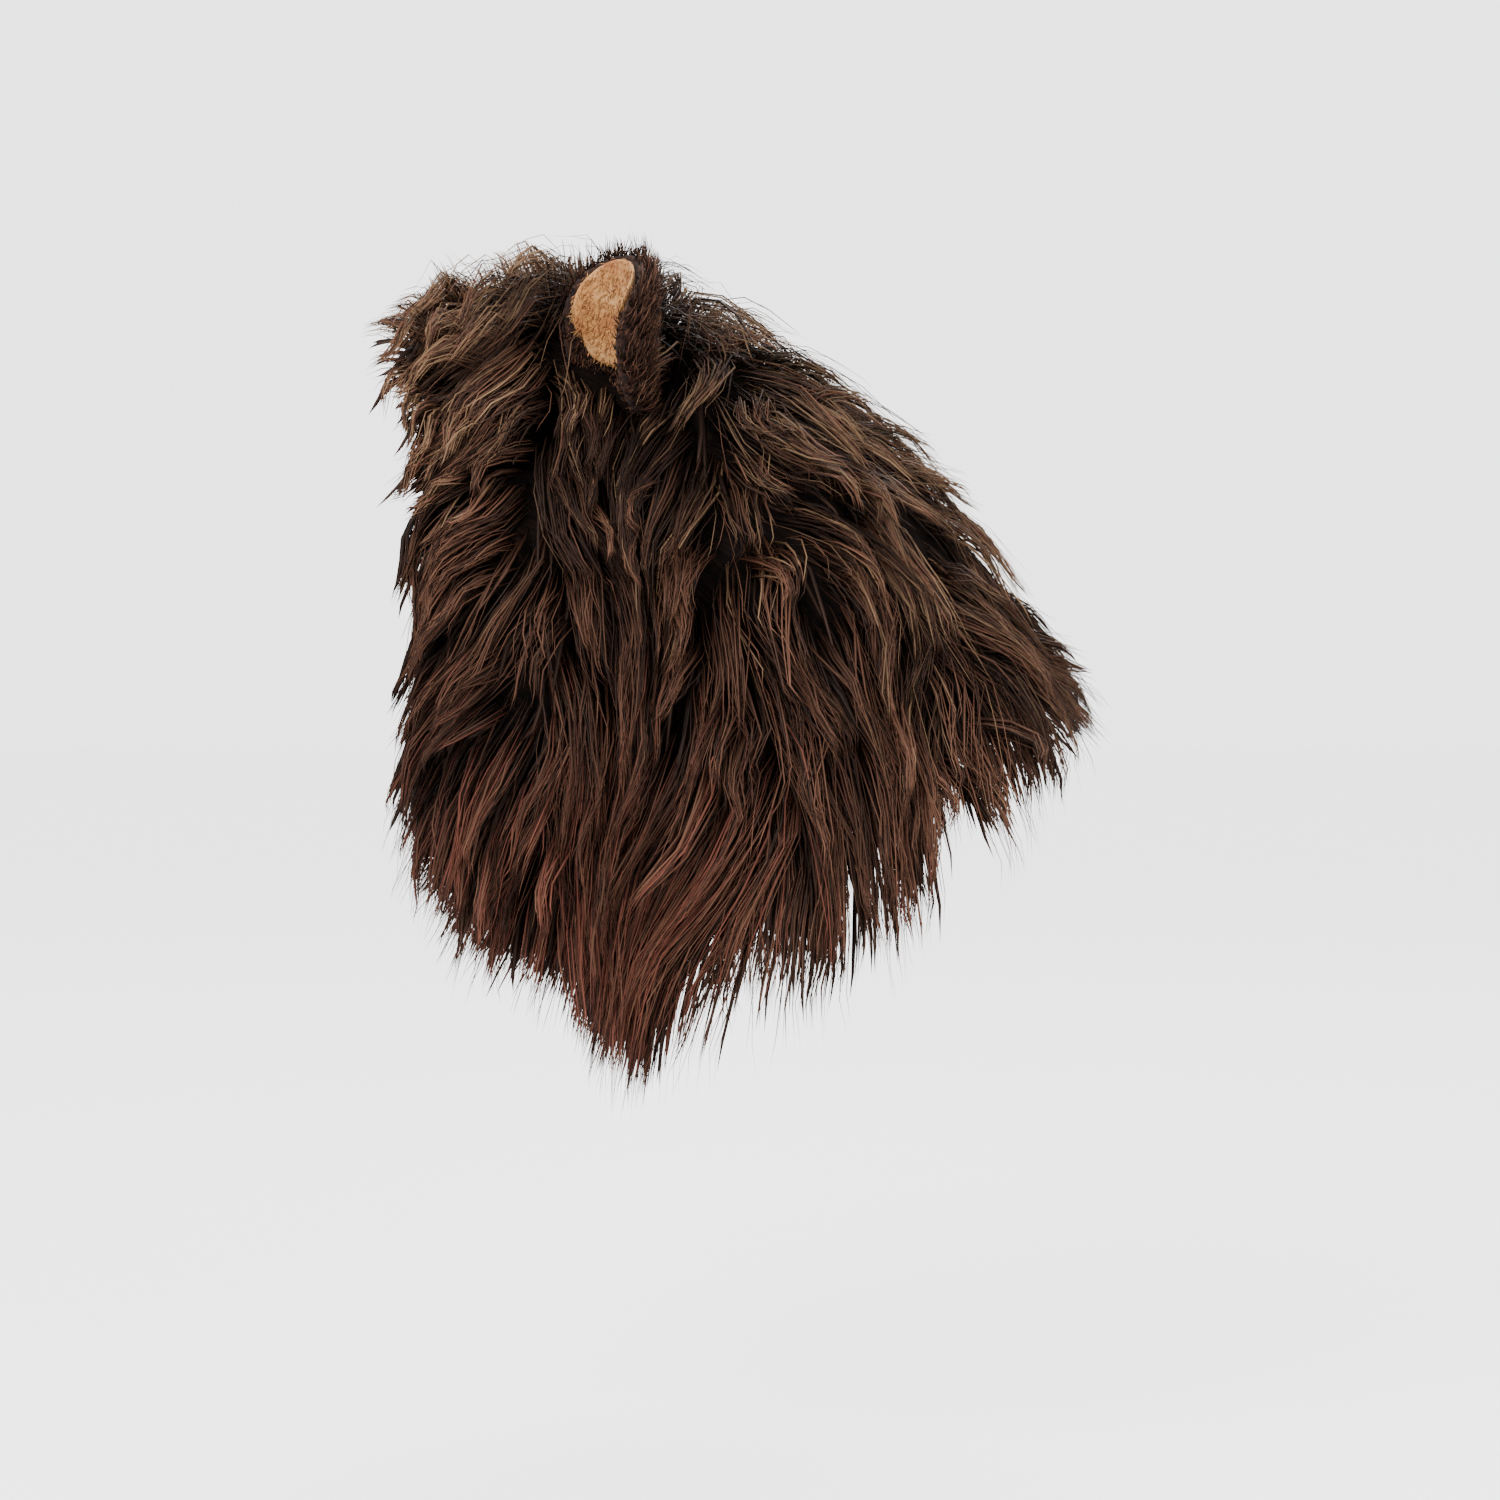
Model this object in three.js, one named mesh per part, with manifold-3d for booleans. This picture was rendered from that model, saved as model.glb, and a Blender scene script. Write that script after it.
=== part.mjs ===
// A pull-on lion's mane for a pet: a knitted hood, its long fur in locks, and two cupped plush ears.
// Millimetres. The wearer faces -Y, +Z is up and +X is the wearer's left.
// The origin is the place inside the hood that sits on the crown of the head.

import * as THREE from "three";
import { LoftGeometry } from "three/addons/geometries/LoftGeometry.js";
import { mergeVertices } from "three/addons/utils/BufferGeometryUtils.js";
import Module from "manifold-3d";

const wasm = await Module();
wasm.setup();

// The hood, measured outside its cloth.
const faceHeight = 238; // from the forehead to under the chin
const faceWidth = 172;
const crownHeight = 318; // the tallest section, behind the jaw
const crownWidth = 206;
const neckHeight = 268; // across the slanted neck hole, nape to chest
const neckWidth = 264;
const foreheadReach = 45; // the face hole's top edge, ahead of the crown
const foreheadDrop = 8;
const napeReach = 294; // the neck hole's top edge, behind the crown
const napeDrop = 213;
const neckTilt = 55.5; // degrees that the neck hole leans back from upright
const clothThickness = 2.5;
const hemThickness = 4.5; // the cloth's edge, folded in once
const hemShare = 0.05; // of the hood's length, at each hole
const chinWidening = 0.07; // share that each section is wider below than above
const sectionSquareness = 0.04;

// The fur.
const furDepth = 56; // full height of the standing fur above the cloth
const pileShare = 0.6; // share of that depth that the packed pile fills under the locks
const lockLength = 124;
const lockWidth = 47;
const lockRidge = 15; // how far a lock stands up from its edges
const lockKeel = 15; // and how far it reaches down into the pile
const lockSway = 16; // degrees that a lock may stray to either side
const furWeight = 0.75; // how hard the locks fall, against how they spread from the whorl
const fringeReach = 60; // how far forward of the face hole the fur's guide surface runs
const skirtReach = 180; // and how far past the neck hole
const skirtSpread = 80; // how much wider than the neck hole it is out there

// The ears.
const earHeight = 98;
const earWidth = 92; // along its curl, at the widest
const earBaseCurl = 20; // radius of the cup at the root
const earTipCurl = 35; // and at the top
const earThickness = 8;
const liningThickness = 3.5;
const liningInset = 2.5;
const liningOverlap = 1; // how far the lining runs on behind the shell's face, before it is cut to fit
const leafEdge = 1; // the least that half a leaf's width may be
const earStation = 0.45; // where it stands, along the hood
const earAngle = 43; // and around it, in degrees from the top
const earTurn = 36; // degrees that the cup faces outwards from straight ahead
const earLean = 10; // degrees that it leans out from upright
const earSink = 12; // how far the root starts under the cloth, before it is cut to fit
const partingWidth = 40; // the fur parts around each ear over this distance
const partingDepth = 0.45; // and loses this share of its depth there

const seamGap = 0.3; // clearance between pieces that meet
const earClearance = 0.8; // and between an ear and the fur around it

const hoodSides = 32; // points around each section of the hood
const pileSides = 24; // and of the pile
const up = new THREE.Vector3(0, 0, 1);
const acrossX = new THREE.Vector3(1, 0, 0);
const radians = THREE.MathUtils.degToRad;

// The hood's sections from front to back. at is the place along the hood, 0 at the face hole and 1 at the
// neck hole; rows outside that only guide the fur. back and drop place the section's top edge, tilt leans it.
// top, side and under are the fur's depth there, as shares of furDepth.
const fringeRow = {
  at: -0.4,
  back: -foreheadReach - fringeReach,
  drop: foreheadDrop + 0.3 * fringeReach,
  tilt: -0.05,
  height: 1.04 * faceHeight,
  width: 1.08 * faceWidth,
  top: 0.3,
  side: 0.22,
  under: 0.3,
};
const hoodRows = [
  { at: 0.0, back: -foreheadReach, drop: foreheadDrop, tilt: 0, height: faceHeight, width: faceWidth,
    top: 0.56, side: 0.46, under: 0.34 },
  { at: 0.2, back: 0, drop: 0, tilt: 0.12, height: 0.87 * crownHeight, width: 0.9 * crownWidth,
    top: 0.72, side: 0.76, under: 0.44 },
  { at: 0.4, back: 0.22 * napeReach, drop: 0.02 * napeDrop, tilt: 0.28, height: 0.99 * crownHeight,
    width: 0.98 * crownWidth, top: 0.72, side: 0.92, under: 0.66 },
  { at: 0.6, back: 0.51 * napeReach, drop: 0.21 * napeDrop, tilt: 0.48, height: crownHeight,
    width: 1.05 * crownWidth, top: 0.74, side: 1.0, under: 0.92 },
  { at: 0.8, back: 0.775 * napeReach, drop: 0.55 * napeDrop, tilt: 0.72, height: 0.95 * crownHeight,
    width: 1.16 * crownWidth, top: 0.8, side: 1.06, under: 1.0 },
  { at: 1.0, back: napeReach, drop: napeDrop, tilt: 1, height: neckHeight, width: neckWidth,
    top: 0.78, side: 1.04, under: 1.0 },
];
const skirtRow = {
  at: 1.7,
  back: napeReach + 0.5 * skirtReach,
  drop: napeDrop + 0.7 * skirtReach,
  tilt: 1.02,
  height: neckHeight + 0.7 * skirtSpread,
  width: neckWidth + skirtSpread,
  top: 0.6,
  side: 0.75,
  under: 0.6,
};
const rows = [fringeRow, ...hoodRows, skirtRow];
const columns = Object.keys(fringeRow);
const throughRows = new THREE.CubicInterpolant(
  rows.map((row) => row.at),
  rows.flatMap((row) => columns.map((column) => row[column])),
  columns.length,
);

// One section of the hood, anywhere between the rows. Past the first and last rows it runs straight on.
function sectionAt(at) {
  const inside = THREE.MathUtils.clamp(at, fringeRow.at, skirtRow.at);
  const inward = inside < 0.5 ? 0.01 : -0.01;
  const values = Array.from(throughRows.evaluate(inside));
  const further = Array.from(throughRows.evaluate(inside + inward));
  const beyond = (at - inside) / inward;
  return Object.fromEntries(
    columns.map((column, i) => [column, values[i] + beyond * (further[i] - values[i])]),
  );
}

// A point of the hood's outer face. angle is 0 at the top and grows towards the wearer's left.
function clothPoint(angle, at) {
  const section = sectionAt(at);
  const rise = new THREE.Vector3(0, 1, 0).applyAxisAngle(acrossX, radians(90 - section.tilt * neckTilt));
  const swell = 1 + sectionSquareness * Math.sin(2 * angle) ** 2;
  const sideways = (section.width / 2) * Math.sin(angle) * swell * (1 - chinWidening * Math.cos(angle));
  const upwards = (section.height / 2) * (Math.cos(angle) * swell - 1);
  return new THREE.Vector3(0, section.back, clothThickness - section.drop)
    .addScaledVector(acrossX, sideways)
    .addScaledVector(rise, upwards);
}

// The hood's outer face at a place: its point, the way out of the cloth, and the steps along it.
function clothFrame(angle, at) {
  const step = 1e-3;
  const point = clothPoint(angle, at);
  const perAngle = clothPoint(angle + step, at).sub(clothPoint(angle - step, at)).divideScalar(2 * step);
  const perAt = clothPoint(angle, at + step).sub(clothPoint(angle, at - step)).divideScalar(2 * step);
  const out = new THREE.Vector3().crossVectors(perAngle, perAt).normalize();
  return { point, perAngle, perAt, out };
}

// Where each ear stands, and its own axes: across the cup, up the ear and out of its open side.
const ears = { left: 1, right: -1 };
function earFrame(side) {
  const foot = clothFrame(side * radians(earAngle), earStation);
  const front = new THREE.Vector3(0, -1, 0).applyAxisAngle(up, side * radians(earTurn));
  const rise = up.clone().applyAxisAngle(new THREE.Vector3(0, 1, 0), side * radians(earLean));
  const across = new THREE.Vector3().crossVectors(rise, front).normalize();
  return { root: foot.point.clone().addScaledVector(rise, -earSink), foot: foot.point, front, rise, across };
}

// The fur's depth at a place: by the table, and lower where it parts around the ears.
function furDepthAt(angle, at) {
  const section = sectionAt(at);
  const over = Math.cos(angle);
  const share = section.side * (1 - over * over) + (over > 0 ? section.top : section.under) * over * over;
  const point = clothPoint(angle, at);
  const nearEar = Math.min(...Object.values(ears).map((side) => point.distanceTo(earFrame(side).foot)));
  const parting = 1 - partingDepth * Math.exp(-((nearEar / partingWidth) ** 2));
  return furDepth * share * parting;
}

// A ring of points around the hood, lifted off its outer face.
function ring(at, liftAt, count = hoodSides) {
  const angles = Array.from({ length: count }, (_, i) => (i / count) * 2 * Math.PI);
  return angles.map((angle) => {
    const { point, out } = clothFrame(angle, at);
    return point.addScaledVector(out, liftAt(angle, at));
  });
}

// A closed geometry as a solid that can be cut and joined.
function solidOf(geometry) {
  const bare = new THREE.BufferGeometry().setAttribute("position", geometry.getAttribute("position"));
  bare.setIndex(geometry.index);
  const merged = mergeVertices(bare, 1e-4);
  const corners = Array.from(merged.index.array);
  const faces = [];
  for (let i = 0; i < corners.length; i += 3) {
    const face = corners.slice(i, i + 3);
    if (new Set(face).size === 3) faces.push(...face);
  }
  return new wasm.Manifold(
    new wasm.Mesh({
      numProp: 3,
      vertProperties: merged.attributes.position.array,
      triVerts: new Uint32Array(faces),
    }),
  );
}

// The largest body of a solid: the crumbs that a cut leaves fall away.
function geometryOf(solid) {
  const [largest] = solid.decompose().sort((a, b) => b.volume() - a.volume());
  const mesh = largest.getMesh();
  const geometry = new THREE.BufferGeometry();
  geometry.setAttribute("position", new THREE.BufferAttribute(mesh.vertProperties, 3));
  geometry.setIndex(new THREE.BufferAttribute(mesh.triVerts, 1));
  geometry.computeVertexNormals();
  return geometry;
}

// The knitted hood: a wall between two lofted faces, its cloth folded in at both holes.
const clothStations = [0, hemShare, 0.18, 0.32, 0.46, 0.6, 0.74, 0.86, 1 - hemShare, 1];
function hoodGeometry() {
  const thicknessAt = (at) => (at < hemShare || at > 1 - hemShare ? hemThickness : clothThickness);
  const outer = clothStations.map((at) => ring(at, () => 0));
  const inner = clothStations.map((at) => ring(at, () => -thicknessAt(at))).reverse();
  return new LoftGeometry([...outer, ...inner, outer[0]]);
}

// The space that the fur stays out of: the hood with a seam's clearance, run on past both holes.
function hoodCore() {
  const stations = [-0.2, ...clothStations, 1.15, 1.3];
  return solidOf(
    new LoftGeometry(stations.map((at) => ring(at, () => seamGap)), { capStart: true, capEnd: true }),
  );
}

// The pile thins to an edge at both ends; share is of its full height.
const pileRows = [
  { at: -0.04, share: 0.35 },
  { at: 0.06, share: 0.9 },
  { at: 0.2, share: 1 },
  { at: 0.34, share: 1 },
  { at: 0.48, share: 1 },
  { at: 0.63, share: 1 },
  { at: 0.78, share: 1 },
  { at: 0.94, share: 1 },
  { at: 1.05, share: 0.86 },
  { at: 1.13, share: 0.45 },
];

// The packed pile: everything from the cloth's middle out to a share of the fur's depth.
function pileSolid() {
  const sections = pileRows.map(({ at, share }) =>
    ring(at, (angle) => share * pileShare * furDepthAt(angle, at), pileSides),
  );
  return solidOf(new LoftGeometry(sections, { capStart: true, capEnd: true }));
}

// The locks of fur, in rows around the hood. turn shifts a row's first lock, as a share of their spacing.
// side is their length at the cheeks and middle at the top and under the chin, as shares of lockLength.
const lockRows = [
  { at: 0.04, count: 13, turn: 0.0, side: 0.46, middle: 0.3, width: 0.78 },
  { at: 0.16, count: 13, turn: 0.5, side: 0.72, middle: 0.5, width: 0.92 },
  { at: 0.32, count: 13, turn: 0.2, side: 0.92, middle: 0.74, width: 1.0 },
  { at: 0.48, count: 13, turn: 0.7, side: 1.0, middle: 0.95, width: 1.08 },
  { at: 0.64, count: 14, turn: 0.3, side: 1.05, middle: 0.95, width: 1.1 },
  { at: 0.8, count: 14, turn: 0.8, side: 1.1, middle: 0.84, width: 1.12 },
  { at: 0.96, count: 15, turn: 0.4, side: 0.98, middle: 0.6, width: 1.05 },
];
// How a lock runs from its root to its point: how high its edges lie in the fur, and its width.
const lockShape = [
  { rise: 0.4, width: 0.6 },
  { rise: 0.7, width: 1.0 },
  { rise: 0.74, width: 0.74 },
  { rise: 0.7, width: 0.06 },
];
const lockSides = 4;
// How much chance shifts each lock: around and along the hood, and in its length and width.
const lockChance = { around: 0.3, along: 0.04, length: 0.3, width: 0.2 };

// Fur spreads from a whorl between the ears and falls.
const whorl = new THREE.Vector3(0, 0.2 * napeReach, -0.35 * faceHeight);
function furDirection(point) {
  return point.clone().sub(whorl).normalize().addScaledVector(up, -furWeight).normalize();
}

// The centre line of one lock over the hood, on past the neck hole where that ends. It strays by sway, in
// radians, to one side and back.
function lockLine(angle, at, length, sway) {
  const steps = lockShape.length - 1;
  return lockShape.map(({ rise, width }, i) => {
    const { point, perAngle, perAt, out } = clothFrame(angle, at);
    const stray = sway * Math.cos((i / steps) * Math.PI);
    const along = furDirection(point).projectOnPlane(out).normalize().applyAxisAngle(out, stray);
    point.addScaledVector(out, rise * furDepthAt(angle, at));
    const aa = perAngle.lengthSq();
    const bb = perAt.lengthSq();
    const ab = perAngle.dot(perAt);
    const onAngle = along.dot(perAngle);
    const onAt = along.dot(perAt);
    const square = aa * bb - ab * ab;
    const step = length / steps;
    angle += (step * (onAngle * bb - onAt * ab)) / square;
    at += (step * (onAt * aa - onAngle * ab)) / square;
    return { point, out, width };
  });
}

function lockSolid(angle, at, length, width, sway) {
  const line = lockLine(angle, at, length, sway);
  const sections = line.map(({ point, out, width: share }, i) => {
    const before = line[Math.max(i - 1, 0)].point;
    const after = line[Math.min(i + 1, line.length - 1)].point;
    const along = after.clone().sub(before).normalize();
    const across = new THREE.Vector3().crossVectors(out, along).normalize();
    const through = new THREE.Vector3().crossVectors(along, across);
    return Array.from({ length: lockSides }, (_, side) => {
      const turn = (side / lockSides) * 2 * Math.PI;
      const depth = Math.sin(turn) > 0 ? lockRidge : lockKeel;
      return point
        .clone()
        .addScaledVector(across, (share * width * Math.cos(turn)) / 2)
        .addScaledVector(through, share * depth * Math.sin(turn));
    });
  });
  return solidOf(new LoftGeometry(sections, { capStart: true, capEnd: true }));
}

function lockSolids() {
  return lockRows.flatMap((row, rowIndex) =>
    Array.from({ length: row.count }, (_, i) => {
      const chance = (salt) => THREE.MathUtils.seededRandom(101 * rowIndex + 7 * i + salt) - 0.5;
      const angle = ((i + row.turn + lockChance.around * chance(1)) / row.count) * 2 * Math.PI;
      const at = row.at + lockChance.along * chance(2);
      const reach = THREE.MathUtils.lerp(row.middle, row.side, Math.sin(angle) ** 2);
      const length = lockLength * reach * (1 + lockChance.length * chance(3));
      const width = lockWidth * row.width * (1 + lockChance.width * chance(4));
      return lockSolid(angle, at, length, width, 2 * chance(5) * radians(lockSway));
    }),
  );
}

// An ear is a cupped leaf. Its width along the curl is a share of earWidth, from the root to the tip.
const earRows = [
  { rise: 0.0, width: 0.5 },
  { rise: 0.2, width: 0.68 },
  { rise: 0.42, width: 0.92 },
  { rise: 0.64, width: 1.0 },
  { rise: 0.81, width: 0.87 },
  { rise: 0.93, width: 0.58 },
  { rise: 1.0, width: 0.2 },
];
const earSides = 8; // strips across the cup

// One leaf of an ear, inside its outline by inset. nearAt and farAt give how far behind the cup's face its
// two sides lie; they are told how much is left there of a plush that thins towards its seam.
function earLeaf(side, nearAt, farAt, inset) {
  const { root, front, rise, across } = earFrame(side);
  const tall = earHeight + earSink;
  const sections = earRows.map((row) => {
    const halfWidth = Math.max((earWidth * row.width) / 2 - inset, leafEdge);
    const curl = THREE.MathUtils.lerp(earBaseCurl, earTipCurl, row.rise);
    const height = row.rise * (tall - inset);
    const place = (share, distanceAt) => {
      const turn = (share * halfWidth) / curl;
      const radius = curl + distanceAt(1 - 0.5 * share ** 4);
      return root
        .clone()
        .addScaledVector(rise, height)
        .addScaledVector(across, radius * Math.sin(turn))
        .addScaledVector(front, curl - radius * Math.cos(turn));
    };
    const shares = Array.from({ length: earSides + 1 }, (_, i) => (2 * i) / earSides - 1);
    const near = shares.map((share) => place(share, nearAt));
    const far = shares.toReversed().map((share) => place(share, farAt));
    return [...near, ...far];
  });
  return solidOf(new LoftGeometry(sections, { capStart: true, capEnd: true }));
}

function named(name, geometry, colour, roughness) {
  const material = new THREE.MeshStandardMaterial({ color: colour, roughness, metalness: 0 });
  const mesh = new THREE.Mesh(geometry, material);
  mesh.name = name;
  return mesh;
}

const core = hoodCore();
const earPieces = Object.entries(ears).flatMap(([name, side]) => {
  const shell = earLeaf(side, () => 0, (left) => left * earThickness, 0).subtract(core);
  const behindLining = earLeaf(side, () => -seamGap, () => earThickness, 0);
  const lining = earLeaf(side, (left) => -seamGap - left * liningThickness, () => liningOverlap, liningInset)
    .subtract(behindLining)
    .subtract(core);
  return [
    named(`${name}_ear_shell`, geometryOf(shell), 0x3f2a22, 0.9),
    named(`${name}_ear_lining`, geometryOf(lining), 0xd9a878, 0.9),
  ];
});
const earPockets = Object.values(ears).map((side) =>
  earLeaf(side, () => -liningThickness - earClearance, () => earThickness + earClearance, -earClearance),
);

const fur = wasm.Manifold.union([pileSolid(), ...lockSolids()]).subtract(
  wasm.Manifold.union([core, ...earPockets]),
);

const mane = new THREE.Group();
mane.add(
  named("hood_backing", hoodGeometry(), 0x2a1d18, 0.95),
  named("mane_fur", geometryOf(fur), 0x4b3027, 0.85),
  ...earPieces,
);

export default mane;
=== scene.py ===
import math

import bmesh
import bpy
import numpy as np
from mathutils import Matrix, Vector


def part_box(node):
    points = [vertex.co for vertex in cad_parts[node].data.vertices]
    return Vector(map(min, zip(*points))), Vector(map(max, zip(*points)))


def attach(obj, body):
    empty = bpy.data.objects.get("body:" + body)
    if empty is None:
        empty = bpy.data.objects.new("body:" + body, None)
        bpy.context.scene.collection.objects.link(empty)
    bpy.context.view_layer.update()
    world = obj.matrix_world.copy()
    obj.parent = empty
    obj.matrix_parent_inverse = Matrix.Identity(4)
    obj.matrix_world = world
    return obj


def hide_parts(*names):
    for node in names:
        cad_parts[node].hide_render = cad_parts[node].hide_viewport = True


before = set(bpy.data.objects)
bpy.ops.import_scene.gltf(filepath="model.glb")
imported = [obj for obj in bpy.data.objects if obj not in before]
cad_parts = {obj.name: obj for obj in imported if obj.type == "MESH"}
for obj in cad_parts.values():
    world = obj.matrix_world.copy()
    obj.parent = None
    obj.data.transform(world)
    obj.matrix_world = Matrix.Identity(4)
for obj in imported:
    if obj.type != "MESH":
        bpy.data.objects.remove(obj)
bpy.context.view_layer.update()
mm = 0.001
fullTurn = 6.283
print("stage: frame loaded")

# Camera. Straight on to the wearer's left side and a little above, on a long lens.
cameraPlan = {"distance": 3.0, "elevation": 4.0, "lens": 120.0, "middle": (0.0, 0.144, -0.246)}


def addObject(name, data):
    made = bpy.data.objects.new(name, data)
    bpy.context.scene.collection.objects.link(made)
    return made


def placeCamera(plan):
    data = bpy.data.cameras.new("sideCamera")
    data.lens = plan["lens"]
    camera = addObject("sideCamera", data)
    rise = math.radians(plan["elevation"])
    back = Vector((math.cos(rise), 0, math.sin(rise)))
    camera.location = Vector(plan["middle"]) + back * plan["distance"]
    camera.rotation_euler = (-back).to_track_quat("-Z", "Y").to_euler()
    bpy.context.scene.camera = camera


placeCamera(cameraPlan)
print("stage: camera placed")

# The hood's form, as the solids have it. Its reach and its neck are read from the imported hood.
hoodLow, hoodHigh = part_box("hood_backing")
foreheadReach, napeReach = -hoodLow.y / mm, hoodHigh.y / mm
hoodPlan = {
    "faceHeight": 238, "faceWidth": 172, "crownHeight": 318, "crownWidth": 206,
    "neckHeight": 268, "neckWidth": 2 * hoodHigh.x / mm, "foreheadDrop": 8, "napeDrop": 213,
    "neckTilt": 55.5, "cloth": 2.5, "chinWidening": 0.07, "squareness": 0.04,
    "fringeReach": 60, "skirtReach": 180, "skirtSpread": 80, "furDepth": 56, "furWeight": 0.75,
    "earStation": 0.45, "earAngle": 43, "parting": 40, "partingDepth": 0.45,
}
h = hoodPlan
# at: back, drop, tilt, height, width, and the fur's depth on top, at the side and under the chin
hoodSections = {
    -0.4: (-foreheadReach - h["fringeReach"], h["foreheadDrop"] + 0.3 * h["fringeReach"], -0.05,
           1.04 * h["faceHeight"], 1.08 * h["faceWidth"], 0.3, 0.22, 0.3),
    0.0: (-foreheadReach, h["foreheadDrop"], 0, h["faceHeight"], h["faceWidth"], 0.56, 0.46, 0.34),
    0.2: (0, 0, 0.12, 0.87 * h["crownHeight"], 0.9 * h["crownWidth"], 0.72, 0.76, 0.44),
    0.4: (0.22 * napeReach, 0.02 * h["napeDrop"], 0.28, 0.99 * h["crownHeight"],
          0.98 * h["crownWidth"], 0.72, 0.92, 0.66),
    0.6: (0.51 * napeReach, 0.21 * h["napeDrop"], 0.48, h["crownHeight"], 1.05 * h["crownWidth"],
          0.74, 1.0, 0.92),
    0.8: (0.775 * napeReach, 0.55 * h["napeDrop"], 0.72, 0.95 * h["crownHeight"],
          1.16 * h["crownWidth"], 0.8, 1.06, 1.0),
    1.0: (napeReach, h["napeDrop"], 1, h["neckHeight"], h["neckWidth"], 0.78, 1.04, 1.0),
    1.7: (napeReach + 0.5 * h["skirtReach"], h["napeDrop"] + 0.7 * h["skirtReach"], 1.02,
          h["neckHeight"] + 0.7 * h["skirtSpread"], h["neckWidth"] + h["skirtSpread"], 0.6, 0.75, 0.6),
}
stations = np.array(list(hoodSections))
sectionRows = np.array(list(hoodSections.values()), float)
steepness = np.diff(sectionRows, axis=0) / np.diff(stations)[:, None]
rowSlopes = np.vstack([steepness[:1], (steepness[1:] + steepness[:-1]) / 2, steepness[-1:]])
whorl = np.array((0, 0.2 * napeReach, -0.35 * h["faceHeight"])) * mm


def sectionAt(at):
    inside = np.clip(at, stations[0], stations[-1])
    i = np.clip(np.searchsorted(stations, inside, side="right") - 1, 0, len(stations) - 2)
    span = stations[i + 1] - stations[i]
    p = ((inside - stations[i]) / span)[:, None]
    span = span[:, None]
    value = (2 * p**3 - 3 * p**2 + 1) * sectionRows[i] + (3 * p**2 - 2 * p**3) * sectionRows[i + 1]
    value += span * ((p**3 - 2 * p**2 + p) * rowSlopes[i] + (p**3 - p**2) * rowSlopes[i + 1])
    past = np.where((at < stations[0])[:, None], rowSlopes[0], rowSlopes[-1])
    return value + (at - inside)[:, None] * past


# A point of the cloth's outer face: angle is 0 at the top and grows to the wearer's left.
def clothPoint(angle, at):
    back, drop, tilt, height, width = sectionAt(at).T[:5]
    lean = np.radians(tilt * h["neckTilt"])
    swell = 1 + h["squareness"] * np.sin(2 * angle) ** 2
    upwards = height / 2 * (np.cos(angle) * swell - 1)
    x = width / 2 * np.sin(angle) * swell * (1 - h["chinWidening"] * np.cos(angle))
    y = back + upwards * np.sin(lean)
    z = h["cloth"] - drop + upwards * np.cos(lean)
    return np.stack([x, y, z], axis=1) * mm


def unit(vectors):
    return vectors / np.maximum(np.linalg.norm(vectors, axis=-1, keepdims=True), 1e-12)


def clamp(values):
    return np.clip(values, 0, 1)


# Near 1 within the width and near 0 well outside it.
def bell(distance, width):
    return np.exp(-((distance / width) ** 2))


def clothFrame(angle, at):
    step = 1e-3
    perAngle = (clothPoint(angle + step, at) - clothPoint(angle - step, at)) / (2 * step)
    perAt = (clothPoint(angle, at + step) - clothPoint(angle, at - step)) / (2 * step)
    return clothPoint(angle, at), perAngle, perAt, unit(np.cross(perAngle, perAt))


# the fur parts around each ear, a little ahead of its foot, where the cup is open
earFeet = clothPoint(np.radians([h["earAngle"], -h["earAngle"]]), np.full(2, h["earStation"]))
earPartings = earFeet + np.array([(0.010, -0.012, 0), (-0.010, -0.012, 0)])


def earNearness(point):
    return np.min(np.linalg.norm(point[:, None] - earPartings[None], axis=2), axis=1)


def furDepthAt(angle, at, point):
    top, side, under = sectionAt(at).T[5:]
    over = np.cos(angle)
    share = side * (1 - over**2) + np.where(over > 0, top, under) * over**2
    parting = 1 - h["partingDepth"] * bell(earNearness(point), h["parting"] * mm)
    return h["furDepth"] * mm * share * parting


# Fur spreads from a whorl between the ears, then falls: low down it leans forward at the throat and back
# under the nape.
def furDirection(point):
    spread = unit(unit(point - whorl) - np.array((0, 0, h["furWeight"])))
    x, y, z = point.T
    lean = np.interp(y, (-0.05, 0.0, 0.06, 0.13, 0.2, 0.32), (-0.6, -0.42, -0.26, -0.08, 0.02, 0.24))
    fall = unit(np.stack([1.2 * x, lean, np.full(len(x), -1.0)], axis=1))
    low = clamp((-z - 0.02 - 0.08 * clamp(y / 0.1)) / 0.16)
    low = (low * low * (3 - 2 * low))[:, None]
    return unit(spread * (1 - low) + fall * low)


print("stage: hood surface ready")


# Materials. Colours are sRGB hex values.
def linear(hexColour):
    parts = [int(hexColour[i:i + 2], 16) / 255 for i in (1, 3, 5)]
    return (*(c / 12.92 if c <= 0.04045 else ((c + 0.055) / 1.055) ** 2.4 for c in parts), 1)


def node(tree, kind, settings=None, **links):
    made = tree.nodes.new(kind)
    for name, value in (settings or {}).items():
        if isinstance(name, int) or name in made.inputs:
            made.inputs[name].default_value = value
        else:
            setattr(made, name, value)
    for name, source in links.items():
        key = int(name[1:]) if name[1:].isdigit() else name.replace("_", " ")
        tree.links.new(made.inputs[key], source)
    return made


def ramp(tree, stops, factor):
    made = node(tree, "ShaderNodeValToRGB", Fac=factor)
    elements = made.color_ramp.elements
    while len(elements) < len(stops):
        elements.new(0.5)
    for element, (place, colour) in zip(elements, stops):
        element.position = place
        element.color = linear(colour)
    return made.outputs["Color"]


def newMaterial(name):
    material = bpy.data.materials.new(name)
    material.use_nodes = True
    tree = material.node_tree
    tree.nodes.clear()
    shader = node(tree, "ShaderNodeBsdfPrincipled")
    node(tree, "ShaderNodeOutputMaterial", Surface=shader.outputs["BSDF"])
    return material, tree, shader


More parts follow.
